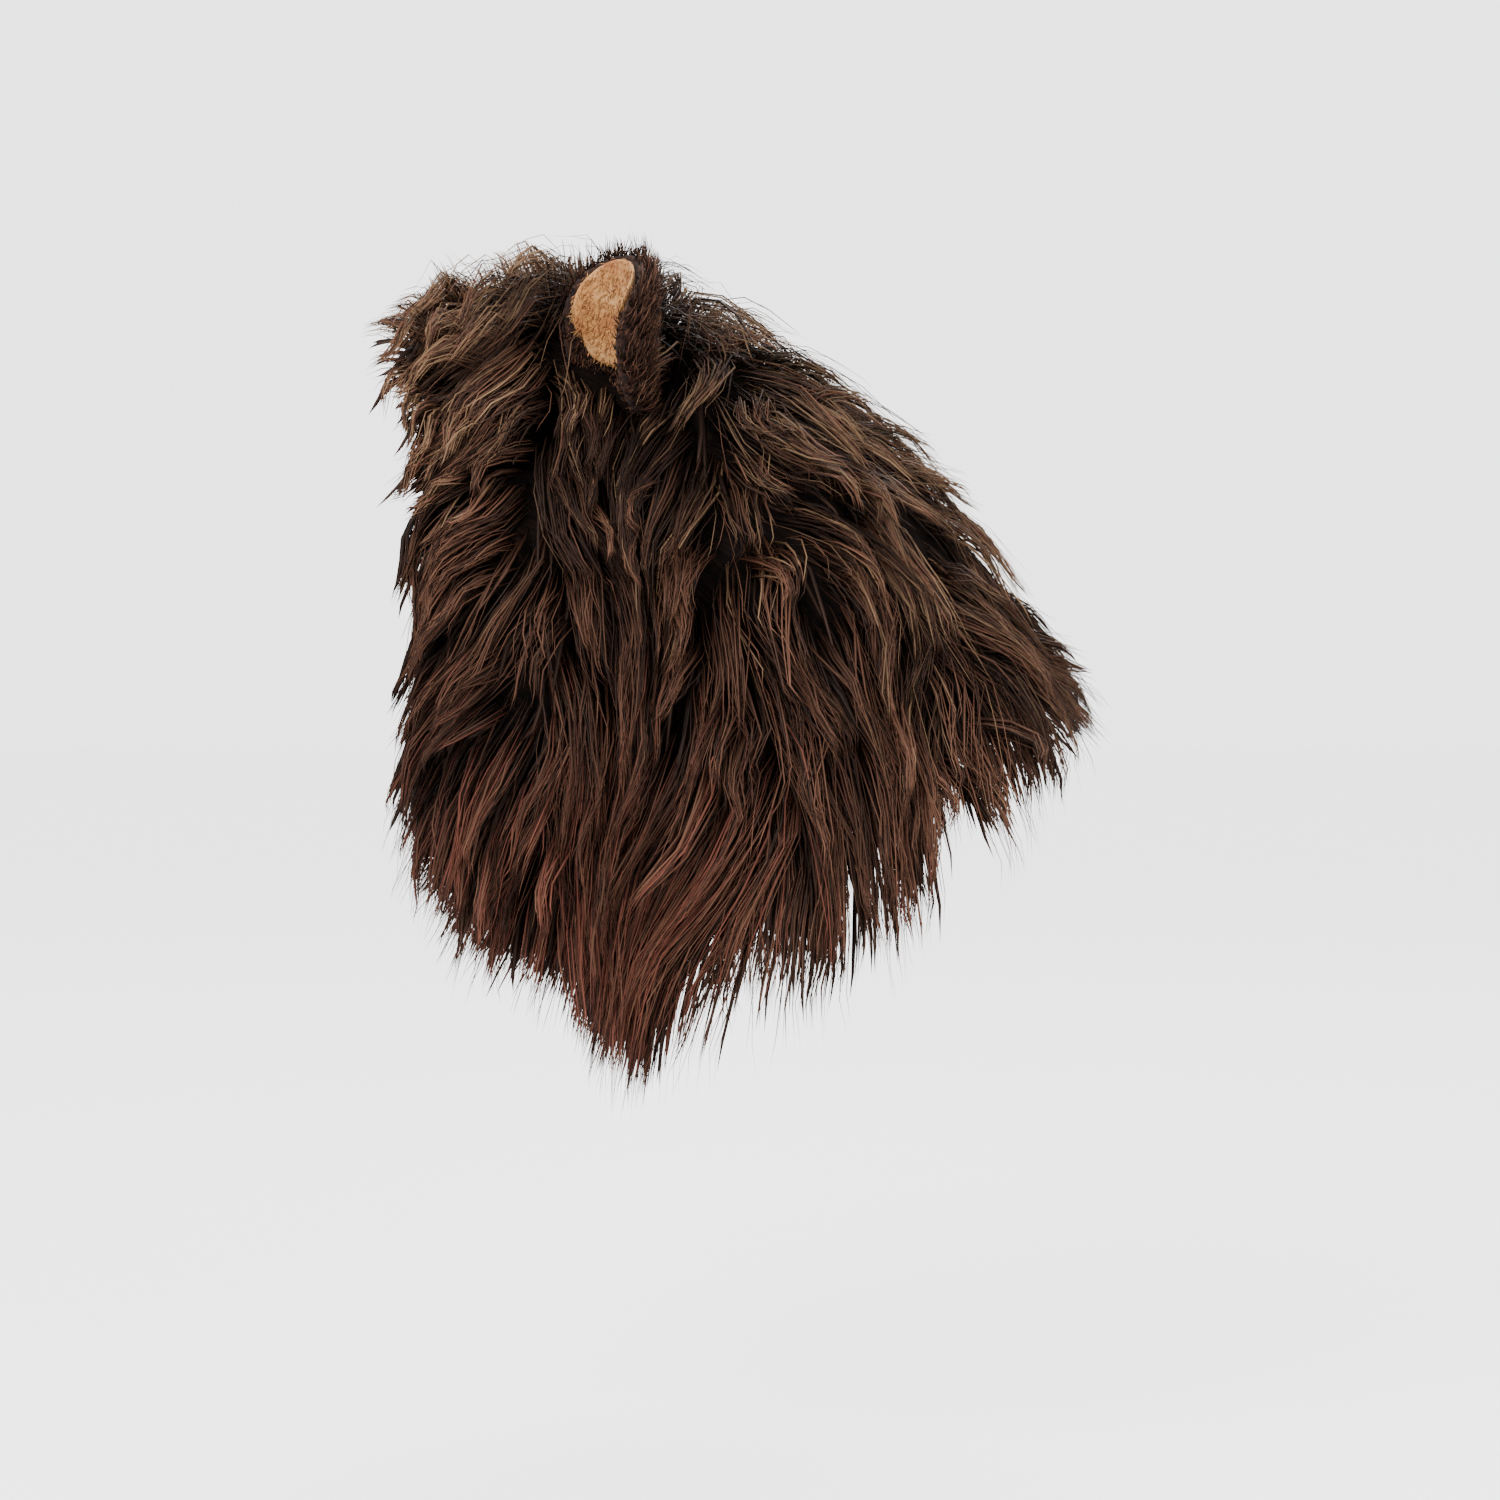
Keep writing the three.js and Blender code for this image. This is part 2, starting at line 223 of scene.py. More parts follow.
# A closed body from a mesh of bmesh, riding on the hood.
def finishPiece(name, bm, material):
    mesh = bpy.data.meshes.new(name)
    bm.to_mesh(mesh)
    bm.free()
    mesh.shade_smooth()
    mesh.materials.append(material)
    piece = addObject(name, mesh)
    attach(piece, "root")
    return piece


# Long-pile modacrylic fur: soft glints along each hair, dark at the roots, paler and redder at the tips.
# The map's v holds four dyes one above the other, root to tip in each; u is how pale the hair is, and
# crossing one hair moves u a little, which draws the finer hairs within it, about 0.3 mm apart.
dyes = {
    "dark": ("#0a0503", "#1f130d", "#3f2c24"),
    "brown": ("#110704", "#382218", "#6b4a3a"),
    "red": ("#130705", "#43231b", "#75473a"),
    "olive": ("#160d08", "#493627", "#7f644b"),
}
furFinish = {"roughness": 0.5, "specular": 0.12, "palest": 2.0, "darkest": 0.4, "streaks": 420.0}
dyePlaces = (0.02, 0.38, 0.98)  # where root, middle and tip colours lie along a hair
acrossHair = 0.006  # how far u moves from a hair's middle to its edge


def makeFurMaterial(name, finish, dyes):
    material, tree, shader = newMaterial(name)
    uv = node(tree, "ShaderNodeUVMap", {"uv_map": "OFBake"})
    parts = node(tree, "ShaderNodeSeparateXYZ", Vector=uv.outputs["UV"])
    stops = []
    for i, (root, middle, tip) in enumerate(dyes.values()):
        for share, colour in zip(dyePlaces, (root, middle, tip)):
            stops.append(((i + share) / len(dyes), colour))
    dye = ramp(tree, stops, parts.outputs["Y"])
    spread = node(tree, "ShaderNodeVectorMath", {"operation": "MULTIPLY", 1: (finish["streaks"], 9, 1)},
                  _0=uv.outputs["UV"])
    streak = node(tree, "ShaderNodeTexNoise", {"Scale": 1.0, "Detail": 1.0, "noise_dimensions": "2D"},
                  Vector=spread.outputs["Vector"])
    pale = node(tree, "ShaderNodeMapRange", {"To Min": finish["darkest"], "To Max": finish["palest"]},
                Value=parts.outputs["X"])
    fine = node(tree, "ShaderNodeMapRange",
                {"From Min": 0.3, "From Max": 0.7, "To Min": 0.72, "To Max": 1.28},
                Value=streak.outputs["Fac"])
    both = node(tree, "ShaderNodeMath", {"operation": "MULTIPLY"}, _0=pale.outputs["Result"],
                _1=fine.outputs["Result"])
    colour = node(tree, "ShaderNodeVectorMath", {"operation": "SCALE"}, _0=dye, Scale=both.outputs["Value"])
    tree.links.new(shader.inputs["Base Color"], colour.outputs["Vector"])
    shader.inputs["Roughness"].default_value = finish["roughness"]
    shader.inputs["Specular IOR Level"].default_value = finish["specular"]
    return material


longFur = makeFurMaterial("modacrylicLongFur", furFinish, dyes)
print("stage: fur material ready")

# The long fur. Strands are closed three-sided tapers; each follows its own path over the hood and is
# drawn in to its lock. Locks root at least 12 mm apart. Lengths are in mm, sway and swirl in degrees.
furPlan = {
    "seed": 11, "strands": 28600, "steps": 18, "rings": (0, 0.18, 0.4, 0.64, 0.86),
    "widths": (1.0, 1.8), "fineWidths": (0.5, 0.8), "underWidths": (2.6, 4.2), "thickness": 0.4,
    "fineShare": 0.42, "underShare": 0.15, "loose": 0.13,
    "lockTries": 9000, "lockGap": 12.0, "lockLength": 116.0, "lockVaries": (0.84, 1.1),
    "shortShare": 0.4, "shortReach": (0.42, 0.68), "tuftCurl": 0.75, "looseLift": 6.0,
    "clump": 0.84, "sway": 21.0, "swirl": 24.0, "wave": (2.5, 6.0), "waveLength": (40, 74), "strandWave": 1.2,
    "spring": 0.5, "flick": 8.0, "ragged": 7.0, "thinning": 12.0, "lowThinning": 44.0, "hemDip": 17.0,
    "shortest": 0.1, "farBack": 360, "farAside": 206,
}
pathShares = np.linspace(0, 1, furPlan["steps"] + 1)
furProfile = np.interp(furPlan["rings"], (0, 0.2, 0.5, 0.8, 1), (0.6, 0.95, 1.0, 0.66, 0.3))
# how much closer together roots stand at the crown, around the ears and at the neck hole's edge
rootCrowding = {"crown": 0.8, "ears": 1.2, "rim": 0.9}
# where the mane's tips end seen from the side, in mm: highest and lowest fur for y, foremost fur for z
topLine = [(-75, 6), (-60, 28), (-42, 42), (-6, 46), (12, 53), (42, 46), (66, 52), (102, 37), (150, 9),
           (216, -36), (285, -96), (309, -141), (342, -186), (356, -226)]
fringeLine = [(-60, -320), (-36, -364), (-6, -382), (34, -392), (54, -424), (75, -442), (114, -416),
              (174, -396), (216, -370), (246, -338), (306, -284), (330, -262), (356, -228)]
frontLine = [(-366, -38), (-336, -56), (-306, -63), (-252, -71), (-180, -63), (-96, -60), (-75, -58),
             (-54, -66), (-24, -75), (0, -75), (24, -62), (45, -38)]
# at: a lock's length at the cheeks, at the top and under the chin, as shares of lockLength
lengthRows = np.array([(-0.1, 0.45, 0.52, 0.6), (0.04, 0.5, 0.55, 0.65), (0.16, 0.68, 0.6, 0.75),
                       (0.32, 0.85, 0.7, 0.82), (0.48, 0.95, 0.85, 0.9), (0.64, 1.0, 0.9, 0.95),
                       (0.8, 1.4, 0.84, 1.1), (1.0, 1.75, 0.78, 1.15)])
# share along a lock: share of the fur's depth that it has risen to
liftRows = np.array([(0, 0.06), (0.08, 0.3), (0.2, 0.62), (0.36, 0.84), (0.55, 0.96), (0.75, 1.0),
                     (1.0, 0.93)])


# Noise in space with about this wavelength in mm: six crossing waves, mostly between -1 and 1.
def smoothNoise(point, seed, wavelength):
    rng = np.random.default_rng(seed)
    total = np.zeros(len(point))
    for _ in range(6):
        direction = unit(rng.normal(size=3))
        reach = wavelength * mm * rng.uniform(0.7, 1.5)
        total += np.sin(point @ direction * 2 * math.pi / reach + rng.uniform(0, fullTurn))
    return total / 2.45


# The ears: brown plush outside and tan plush inside, cupped, each a soft pad of its own. In mm and degrees.
earPlan = {"tall": 98, "sink": 12, "wide": 92, "baseCurl": 20, "tipCurl": 35, "turn": 36, "lean": 10,
           "thick": 7.4, "liningThick": 3.6, "gap": 0.4}
earLength = earPlan["tall"] + earPlan["sink"]
# the space that the mane's fur keeps out of: before the pad, and in front of the cup from its foot upwards
earRoom = {"pad": 4, "cup": 26, "beside": 22, "foot": 0.5, "rim": 0.93, "near": 6, "spared": 0.3}
# rise up the ear: half width to the front edge and to the back edge, as shares of half of wide
shellOutline = [(0.13, 0.3, 0.3), (0.15, 0.52, 0.56), (0.2, 0.62, 0.68), (0.42, 0.84, 0.92),
                (0.62, 0.88, 1.0), (0.78, 0.76, 0.86), (0.88, 0.52, 0.62), (0.94, 0.28, 0.36),
                (0.96, 0.05, 0.05)]
liningOutline = [(0.36, 0.24, 0.1), (0.375, 0.5, 0.28), (0.41, 0.6, 0.42), (0.47, 0.64, 0.56),
                 (0.5, 0.66, 0.7), (0.515, 0.76, 0.82), (0.55, 0.8, 0.88), (0.6, 0.82, 0.92),
                 (0.68, 0.8, 0.92), (0.76, 0.72, 0.86), (0.84, 0.54, 0.68), (0.9, 0.34, 0.44),
                 (0.935, 0.06, 0.06)]


def earAxes(side):
    turn, lean = math.radians(earPlan["turn"]), math.radians(earPlan["lean"])
    front = np.array((side * math.sin(turn), -math.cos(turn), 0))
    rise = np.array((side * math.sin(lean), 0, math.cos(lean)))
    foot = earFeet[0 if side > 0 else 1]
    return foot - rise * earPlan["sink"] * mm, front, rise, unit(np.cross(rise, front))


def curlAt(share):
    return earPlan["baseCurl"] + (earPlan["tipCurl"] - earPlan["baseCurl"]) * share


# Where points lie on an ear's curled leaf: share of its height, mm towards its front edge, mm behind its
# face, and mm sideways.
def onLeaf(points, side):
    root, front, rise, across = earAxes(side)
    fromRoot = (points - root) / mm
    # the rise leans towards the front, so the two aren't square to each other
    lean = rise @ front
    upwards, onwards, sideways = fromRoot @ rise, fromRoot @ front, fromRoot @ across
    ahead = (onwards - lean * upwards) / (1 - lean**2)
    share = (upwards - lean * ahead) / earLength
    curl = curlAt(share)
    toFront = -side * np.arctan2(sideways, curl - ahead) * curl
    return share, toFront, np.hypot(sideways, curl - ahead) - curl, sideways


def halfWidth(outline, share, toFront):
    rises, fronts, backs = np.array(outline).T
    inFront, behind = np.interp(share, rises, fronts), np.interp(share, rises, backs)
    return earPlan["wide"] / 2 * np.where(toFront > 0, inFront, behind)


# How far along a path the first point lies that is in an ear's pad or in front of its open cup; the spared
# ones may cross the cup.
def earShare(path, side, spared):
    share, toFront, behind, sideways = onLeaf(path, side)
    within = np.abs(toFront) < halfWidth(shellOutline, share, toFront)
    pad = (behind > -earRoom["pad"]) & (behind < earPlan["thick"]) & within & (share > 0.15) & (share < 0.96)
    cup = (behind > -earRoom["cup"]) & (behind < 0) & (np.abs(sideways) < earRoom["beside"])
    cup = cup & (share > earRoom["foot"]) & (share < earRoom["rim"])
    met = pad | (cup & ~spared[:, None]) | (cup & (behind > -earRoom["near"]))
    return np.where(met.any(axis=1), (met.argmax(axis=1) - 1) / (path.shape[1] - 1), 1)


# Whether a place on an ear's shell is clear of the lining that lies on it.
def offLining(points, side):
    share, toFront, behind, sideways = onLeaf(points, side)
    under = np.abs(toFront) < halfWidth(liningOutline, share, toFront) + 2.5
    under = under & (share > 0.35) & (share < 0.95) & (behind < 2.5)
    return ~under & (points[:, 2] > -0.055)


# Roots over the cloth, thrown by area, closer together at the crown, the ears and the holes' edges.
def throwRoots(count, rng, low=-0.01, high=1.0):
    angle = rng.uniform(-math.pi, math.pi, count * 6)
    at = rng.uniform(low, high, count * 6)
    point, perAngle, perAt, out = clothFrame(angle, at)
    area = np.linalg.norm(np.cross(perAngle, perAt), axis=1)
    crown = clamp(np.cos(angle) * 2 - 0.8) * clamp(1.6 - 2 * at)
    rims = rootCrowding["rim"] * clamp((at - 0.8) / 0.2) + clamp((0.08 - at) / 0.08)
    ears = rootCrowding["ears"] * bell(earNearness(point), 0.05)
    area = area * (1 + rims + rootCrowding["crown"] * crown + ears)
    keep = rng.uniform(0, area.max(), len(area)) < area
    return angle[keep][:count], at[keep][:count], point[keep][:count]


# How far fur there hangs free of the cloth, from 0 to 1: where the cloth turns under, and past its lower
# edge.
def freeAt(out, at):
    under = clamp(-1.7 * out[..., 2] - 0.15)
    past = clamp((at - 1.0) / 0.12) * clamp(1.6 - 2.6 * out[..., 2])
    return np.maximum(under, past)


# Walks from each root down the fur. Gives the points on the cloth, the way out there and the fur's depth.
def walk(angle, at, length, steps, stray):
    angle, at = angle.copy(), at.copy()
    points, outs, depths = [], [], []
    fallen = np.zeros((len(angle), 3))
    for k in range(steps + 1):
        point, perAngle, perAt, out = clothFrame(angle, at)
        points.append(point + fallen)
        outs.append(out)
        depths.append(furDepthAt(angle, at, point))
        along = furDirection(point)
        along = unit(along - out * np.sum(along * out, axis=1, keepdims=True))
        turn = stray * math.cos(k / steps * math.pi * 0.8)
        turn = turn + np.radians(furPlan["swirl"]) * smoothNoise(point, 5, 90)
        side = np.cross(out, along)
        along = along * np.cos(turn)[:, None] + side * np.sin(turn)[:, None]
        aa, bb = np.sum(perAngle**2, axis=1), np.sum(perAt**2, axis=1)
        ab = np.sum(perAngle * perAt, axis=1)
        onAngle, onAt = np.sum(along * perAngle, axis=1), np.sum(along * perAt, axis=1)
        free = freeAt(out, at)
        square, step = aa * bb - ab * ab, length / steps * (1 - free)
        wander = 0.12 * smoothNoise(point, 17, 60)
        drop = unit(np.stack([0.9 * stray + wander, 0.8 * furDirection(point)[:, 1] + 0.5 * stray,
                              np.full(len(at), -1.0)], axis=1))
        fallen = fallen + drop * (length / steps * free)[:, None]
        angle = angle + step * (onAngle * bb - onAt * ab) / square
        at = at + step * (onAt * aa - onAngle * ab) / square
    return np.stack(points, 1), np.stack(outs, 1), np.stack(depths, 1)


def lockLengths(angle, at):
    side, top, under = (np.interp(at, lengthRows[:, 0], lengthRows[:, i]) for i in (1, 2, 3))
    middle = np.where(np.cos(angle) > 0, top, under)
    return furPlan["lockLength"] * mm * (middle + (side - middle) * np.sin(angle) ** 2)


# Values along every path at a share of its steps; places is one row of shares for each path.
def sampleAlong(values, places):
    steps = values.shape[1] - 1
    spot = clamp(places) * steps
    low = np.minimum(spot.astype(int), steps - 1)
    part = (spot - low)[..., None]
    rows = np.arange(len(values))[:, None]
    return values[rows, low] * (1 - part) + values[rows, low + 1] * part


# How far along each path the mane's end lines let it go; slack lets a path pass them a little.
def trimShare(path, slack):
    y, z = path[..., 1] / mm, path[..., 2] / mm
    top, low = (np.interp(y, *np.array(line).T) for line in (topLine, fringeLine))
    front = np.interp(z, *np.array(frontLine).T)
    spare = np.minimum(np.minimum(top - z, z - low), y - front) + slack[:, None]
    aside = furPlan["farAside"] - np.abs(path[..., 0] / mm)
    spare = np.minimum(spare, np.minimum(furPlan["farBack"] - y, aside))
    last = np.where((spare < 0).any(axis=1), (spare < 0).argmax(axis=1), spare.shape[1] - 1)
    rows, before = np.arange(len(path)), np.maximum(last - 1, 0)
    part = spare[rows, before] / np.maximum(spare[rows, before] - spare[rows, last], 1e-9)
    return np.clip((before + clamp(part)) / (spare.shape[1] - 1), 0.12, 1)


# Closed tapers along centre lines: paths is (strands, rings + 1, 3), the last point being the tip. profile
# gives their width at each ring as a share of width.
def strandMesh(name, profile, material, paths, outs, width, thickness, tone, family, twist):
    count, rings = len(paths), len(profile)
    along = unit(np.gradient(paths, axis=1))[:, :rings]
    across = unit(np.cross(outs[:, :rings], along))
    lift = np.cross(along, across)
    across, lift = (across * np.cos(twist)[..., None] + lift * np.sin(twist)[..., None],
                    lift * np.cos(twist)[..., None] - across * np.sin(twist)[..., None])
    half = (width[:, None] * profile[None] / 2)[..., None]
    thick = (thickness[:, None] * profile[None])[..., None]
    centre = paths[:, :rings]
    corners = np.stack([centre - across * half, centre + lift * thick, centre + across * half], axis=2)
    body = corners.reshape(count, rings * 3, 3)
    vertices = np.concatenate([body, paths[:, rings:]], axis=1)
    perStrand = rings * 3 + 1
    triangles = [(0, 1, 2)]
    for ring in range(rings - 1):
        for side in range(3):
            a, b = ring * 3 + side, ring * 3 + (side + 1) % 3
            triangles += [(a, a + 3, b), (b, a + 3, b + 3)]
    last = (rings - 1) * 3
    triangles += [(last + side, rings * 3, last + (side + 1) % 3) for side in range(3)]
    triangles = np.array(triangles)
    faces = (triangles[None] + np.arange(count)[:, None, None] * perStrand).reshape(-1)
    # the map: v runs along the strand within its dye, u is the tone and a little more across
    legs = np.linalg.norm(np.diff(paths, axis=1), axis=2)
    travel = np.concatenate([[0.0], np.cumsum(legs, axis=1).mean(axis=0)])
    travel = travel / travel[-1]
    v = (family[:, None] + 0.02 + 0.96 * travel[None]) / 4
    u = 0.01 + 0.96 * tone
    cross = np.array((-acrossHair, 0.0, acrossHair))
    us = np.repeat((u[:, None] + cross)[:, None], rings, axis=1).reshape(count, -1)
    us = np.concatenate([us, u[:, None]], axis=1)
    vs = np.concatenate([np.repeat(v[:, :rings], 3, axis=1), v[:, rings:]], axis=1)
    uv = np.stack([us.reshape(-1), vs.reshape(-1)], axis=1)[faces]
    mesh = bpy.data.meshes.new(name)
    mesh.vertices.add(count * perStrand)
    mesh.vertices.foreach_set("co", vertices.astype(np.float32).reshape(-1))
    mesh.loops.add(len(faces))
    mesh.loops.foreach_set("vertex_index", faces.astype(np.int32))
    mesh.polygons.add(len(faces) // 3)
    mesh.polygons.foreach_set("loop_start", np.arange(0, len(faces), 3, dtype=np.int32))
    mesh.polygons.foreach_set("use_smooth", np.ones(len(faces) // 3, dtype=bool))
    mesh.update(calc_edges=True)
    mesh.uv_layers.new(name="OFBake").data.foreach_set("uv", uv.astype(np.float32).reshape(-1))
    mesh.materials.append(material)
    piece = addObject(name, mesh)
    print(f"  {name}: {count} strands, {len(faces) // 3} triangles")
    return piece


# How high the fur stands along each path; fur that starts by the whorl springs up at once.
def riseAlong(plan, start, out, depth, level):
    lift = np.interp(pathShares, liftRows[:, 0], liftRows[:, 1])[None]
    quick = np.interp(pathShares, (0, 0.06, 0.16, 0.3, 0.6, 1), (0.2, 0.7, 1.05, 1.2, 1.1, 0.9))[None]
    whorlTop = np.array((0, whorl[1], 0))
    near = bell(np.linalg.norm((start - whorlTop) / (0.09, 0.1, 0.12), axis=1), 1)[:, None]
    rise = depth * (lift + plan["spring"] * 2 * near * (quick - lift)) * level
    ridge = bell(start[:, 1] - 0.11, 0.08) * clamp(out[:, 0, 2] * 1.5 - 0.5)
    return rise * (1 + 0.22 * ridge[:, None])


# The locks' guide lines, with what their strands take from them.
def growLocks(plan, rng):
    angle, at, point = throwRoots(plan["lockTries"], rng)
    chosen = []
    gap = plan["lockGap"] * mm
    for i in range(len(point)):
        if not chosen or np.min(np.sum((point[chosen] - point[i]) ** 2, axis=1)) > gap * gap:
            chosen.append(i)
    angle, at, point = angle[chosen], at[chosen], point[chosen]
    count = len(chosen)
    length = lockLengths(angle, at) * rng.uniform(*plan["lockVaries"], count)
    # short locks lie on top of the long ones, lift at their tips and stray more
    short = rng.uniform(size=count) < plan["shortShare"] * np.clip(1.4 - at, 0.3, 1)
    length[short] *= rng.uniform(*plan["shortReach"], short.sum())
    stray = np.radians(plan["sway"]) * rng.normal(0, 0.6, count) * np.where(short, 1.7, 1.0)
    way, out, depth = walk(angle, at, length, plan["steps"], stray)
    layer = np.where(short, rng.uniform(0.9, 1.1, count), rng.uniform(0.66, 1.02, count))
    waveSize = rng.uniform(*plan["wave"], count)[:, None] * mm
    waveSpan = rng.uniform(*plan["waveLength"], count)[:, None] * mm
    phase = rng.uniform(0, fullTurn, (2, count))[..., None]
    share = pathShares[None]
    # tufts stand up and curl along the front of the crown
    tuft = bell(at - 0.1, 0.2) * clamp(np.cos(angle) * 1.4 - 0.25)
    standing = 1 + tuft[:, None] * np.sin(share**0.7 * math.pi) * rng.uniform(0.15, 1, count)[:, None]
    flick = (rng.uniform(-0.4, 1.0, count) + 0.5 * short)[:, None] * plan["flick"] * mm * share**3
    rise = riseAlong(plan, point, out, depth, layer[:, None]) * standing + flick
    side = np.cross(out, unit(np.gradient(way, axis=1)))
    run = share * length[:, None] / waveSpan * 2 * math.pi
    grow = np.sin(clamp(share * 1.3) * math.pi / 2)
    curly = (1 + plan["tuftCurl"] * tuft)[:, None]
    sideWave = waveSize * curly**2 * grow * np.sin(run + phase[0])
    outWave = 0.5 * waveSize * grow * np.sin(run * 1.2 + phase[1])
    path = way + out * (rise + np.minimum(outWave, 0.25 * depth))[..., None]
    path = path + side * sideWave[..., None]
    # the hem is uneven: here and there its locks end well before the line
    hem = np.clip(smoothNoise(path[:, -1], 41, 75), 0, 1.6) * clamp((-0.2 - path[:, -1, 2]) / 0.1)
    cut = trimShare(path, rng.normal(0, plan["ragged"], count) - plan["hemDip"] * hem)
    return {"point": point, "length": length, "stray": stray, "layer": layer, "tuft": tuft,
            "standing": standing, "flick": flick, "path": path, "cut": cut}


# The strands, each in its nearest lock and drawn in to that lock's guide line.
def layStrands(plan, locks, rng):
    angle, at, point = throwRoots(plan["strands"], rng)
    count = len(point)
    own = []
    for i in range(0, count, 2000):
        apart = ((point[i:i + 2000, None] - locks["point"][None]) ** 2).sum(axis=2)
        own.append(np.argmin(apart, axis=1))
    own = np.concatenate(own)
    tuft, share = locks["tuft"][own], pathShares[None]
    reach = np.where(rng.uniform(size=count) < 0.25, rng.uniform(0.5, 0.8, count),
                     rng.uniform(0.78, 1.0, count))
    loose = rng.uniform(size=count) < plan["loose"] * (1 - 0.6 * tuft)
    stray = locks["stray"][own] + np.radians(5) * rng.normal(size=count)
    way, out, depth = walk(angle, at, locks["length"][own] * reach, plan["steps"], stray)
    # broad strands lie low and fill the gaps between the locks; their dark dye, given below, is painted shade
    # there
    under = (rng.uniform(size=count) < plan["underShare"]) & ~loose
    layer = locks["layer"][own] * rng.uniform(0.78, 1.06, count)
    layer[under] = rng.uniform(0.4, 0.66, under.sum())
    rise = riseAlong(plan, point, out, depth, layer[:, None]) * locks["standing"][own] + locks["flick"][own]
    path = way + out * rise[..., None]
    guide = sampleAlong(locks["path"][own], share * reach[:, None])
    drawn = plan["clump"] * clamp((share - 0.04) / 0.7) ** 1.1
    hold = np.where(loose, 0.45, np.where(under, 0.3, rng.uniform(0.75, 1.12, count)))
    path = path + (guide - path) * np.clip(drawn * hold[:, None], 0, 0.97)[..., None]
    across = np.cross(out, unit(np.gradient(path, axis=1)))
    fluff = plan["strandWave"] * mm * np.where(loose, 2.6, 1.0) * rng.uniform(0.4, 1.3, count)
    calm = np.where(loose, 0.45, 1.0)[:, None]

    def ripple(slowest, quickest):
        turns = share * rng.uniform(slowest, quickest, count)[:, None] * calm
        return np.sin(turns + rng.uniform(0, fullTurn, count)[:, None])

    path = path + across * (fluff[:, None] * share * ripple(6, 13))[..., None]
    path = path + out * (fluff[:, None] * share * ripple(5, 10) * 0.8)[..., None]
    path[loose] += out[loose] * (pathShares**2 * plan["looseLift"] * mm)[None, :, None]
    return {"angle": angle, "at": at, "point": point, "own": own, "tuft": tuft, "loose": loose,
            "under": under, "layer": layer, "path": path, "out": out}


# Strands end at the mane's end lines and before an ear's pad or cup; those left too short are dropped.
def cutStrands(plan, locks, strands, rng):
    path, loose = strands["path"], strands["loose"]
    slack = plan["ragged"] * np.where(loose, 2.4 - 1.2 * clamp(2 * strands["tuft"]), 2.2)
    # each ends a little before them by chance, most of all along the low front, so the edges thin out
    tipY, tipZ = path[:, -1, 1], path[:, -1, 2]
    lowFront = clamp((-0.22 - tipZ) / 0.14) * clamp((0.12 - tipY) / 0.08)
    slack = slack - rng.uniform(size=len(path)) ** 2 * (plan["thinning"] + plan["lowThinning"] * lowFront)
    cut = np.minimum(np.where(loose, 1, locks["cut"][strands["own"]]), trimShare(path, slack))
    spared = rng.uniform(size=len(path)) < earRoom["spared"]
    cut = np.minimum(cut, np.minimum(earShare(path, 1, spared), earShare(path, -1, spared)))
    clear = cut > plan["shortest"]
    strands = {key: value[clear] for key, value in strands.items()}
    strands["chance"] = rng.uniform(size=clear.sum())
    places = cut[clear][:, None] * np.array([*plan["rings"], 1.0])[None]
    strands["paths"] = sampleAlong(strands["path"], places)
    strands["outs"] = sampleAlong(strands["out"], places)
    return strands


def sizeStrands(plan, strands, rng):
    under, count = strands["under"], len(strands["paths"])
    fine = (rng.uniform(size=count) < plan["fineShare"] + 0.5 * strands["tuft"]) | strands["loose"]
    width = np.where(fine, rng.uniform(*plan["fineWidths"], count), rng.uniform(*plan["widths"], count)) * mm
    width[under] = rng.uniform(*plan["underWidths"], under.sum()) * mm
    strands["width"] = width
    strands["thickness"] = np.minimum(width * 0.4, plan["thickness"] * mm)
    start, more = rng.normal(0, 0.5, count)[:, None], rng.normal(0, 0.5, count)[:, None]
    strands["twist"] = start + more * np.array(plan["rings"])[None]


# Dyes by place: olive over the back and red low down in front. Strands below the ears and in deep locks are
# dyed darker as painted shade.
def dyeStrands(locks, strands, rng):
    root, tip, chance = strands["point"], strands["paths"][:, -1], strands["chance"]
    tuft, under, count = strands["tuft"], strands["under"], len(tip)
    patch = smoothNoise(root, 9, 120)
    redness = clamp((-0.2 - tip[:, 2]) / 0.18) * np.clip((0.24 - tip[:, 1]) / 0.2, 0.25, 1)
    oliveness = clamp((np.cos(strands["angle"]) - 0.35) * 1.6)
    oliveness = oliveness * clamp((root[:, 2] + 0.25) / 0.2)
    oliveness = np.maximum(oliveness, 0.9 * clamp(tuft * 1.6))
    # painted shade: the dark dye goes to strands near the ears and to those that lie low
    paintedShade = bell(earNearness(root), 0.05) * 0.7 + clamp(0.86 - strands["layer"]) * 2
    dark, brown, red, olive = range(len(dyes))
    family = np.full(count, float(brown))
    family[chance < 0.75 * oliveness + 0.12 * patch * oliveness] = olive
    family[(family == brown) & (chance < 0.75 * redness)] = red
    family[rng.uniform(size=count) < 0.16 + paintedShade] = dark
    # painted shade: most broad low strands take the dark dye
    family[under & (rng.uniform(size=count) < 0.6)] = dark
    lockTone = rng.uniform(0.1, 0.7, len(locks["point"]))
    # painted shade: the tone is lowered by the ears
    shadeByEars = 0.2 * bell(earNearness(root), 0.06)
    # the crown's tufts are paler; the low front's paler tone is painted light from below
    paler = 0.72 * clamp(tuft * 1.6) + 0.14 * redness - shadeByEars
    tone = lockTone[strands["own"]] + 0.12 * patch + paler + rng.normal(0, 0.1, count)
    strands["family"] = family
    # painted shade: the broad low strands' tone is darkened
    strands["tone"] = clamp(np.where(under, 0.45 * tone, tone))


def growFur(plan):
    rng = np.random.default_rng(plan["seed"])
    locks = growLocks(plan, rng)
    strands = cutStrands(plan, locks, layStrands(plan, locks, rng), rng)
    sizeStrands(plan, strands, rng)
    dyeStrands(locks, strands, rng)
    return strands


fur = growFur(furPlan)
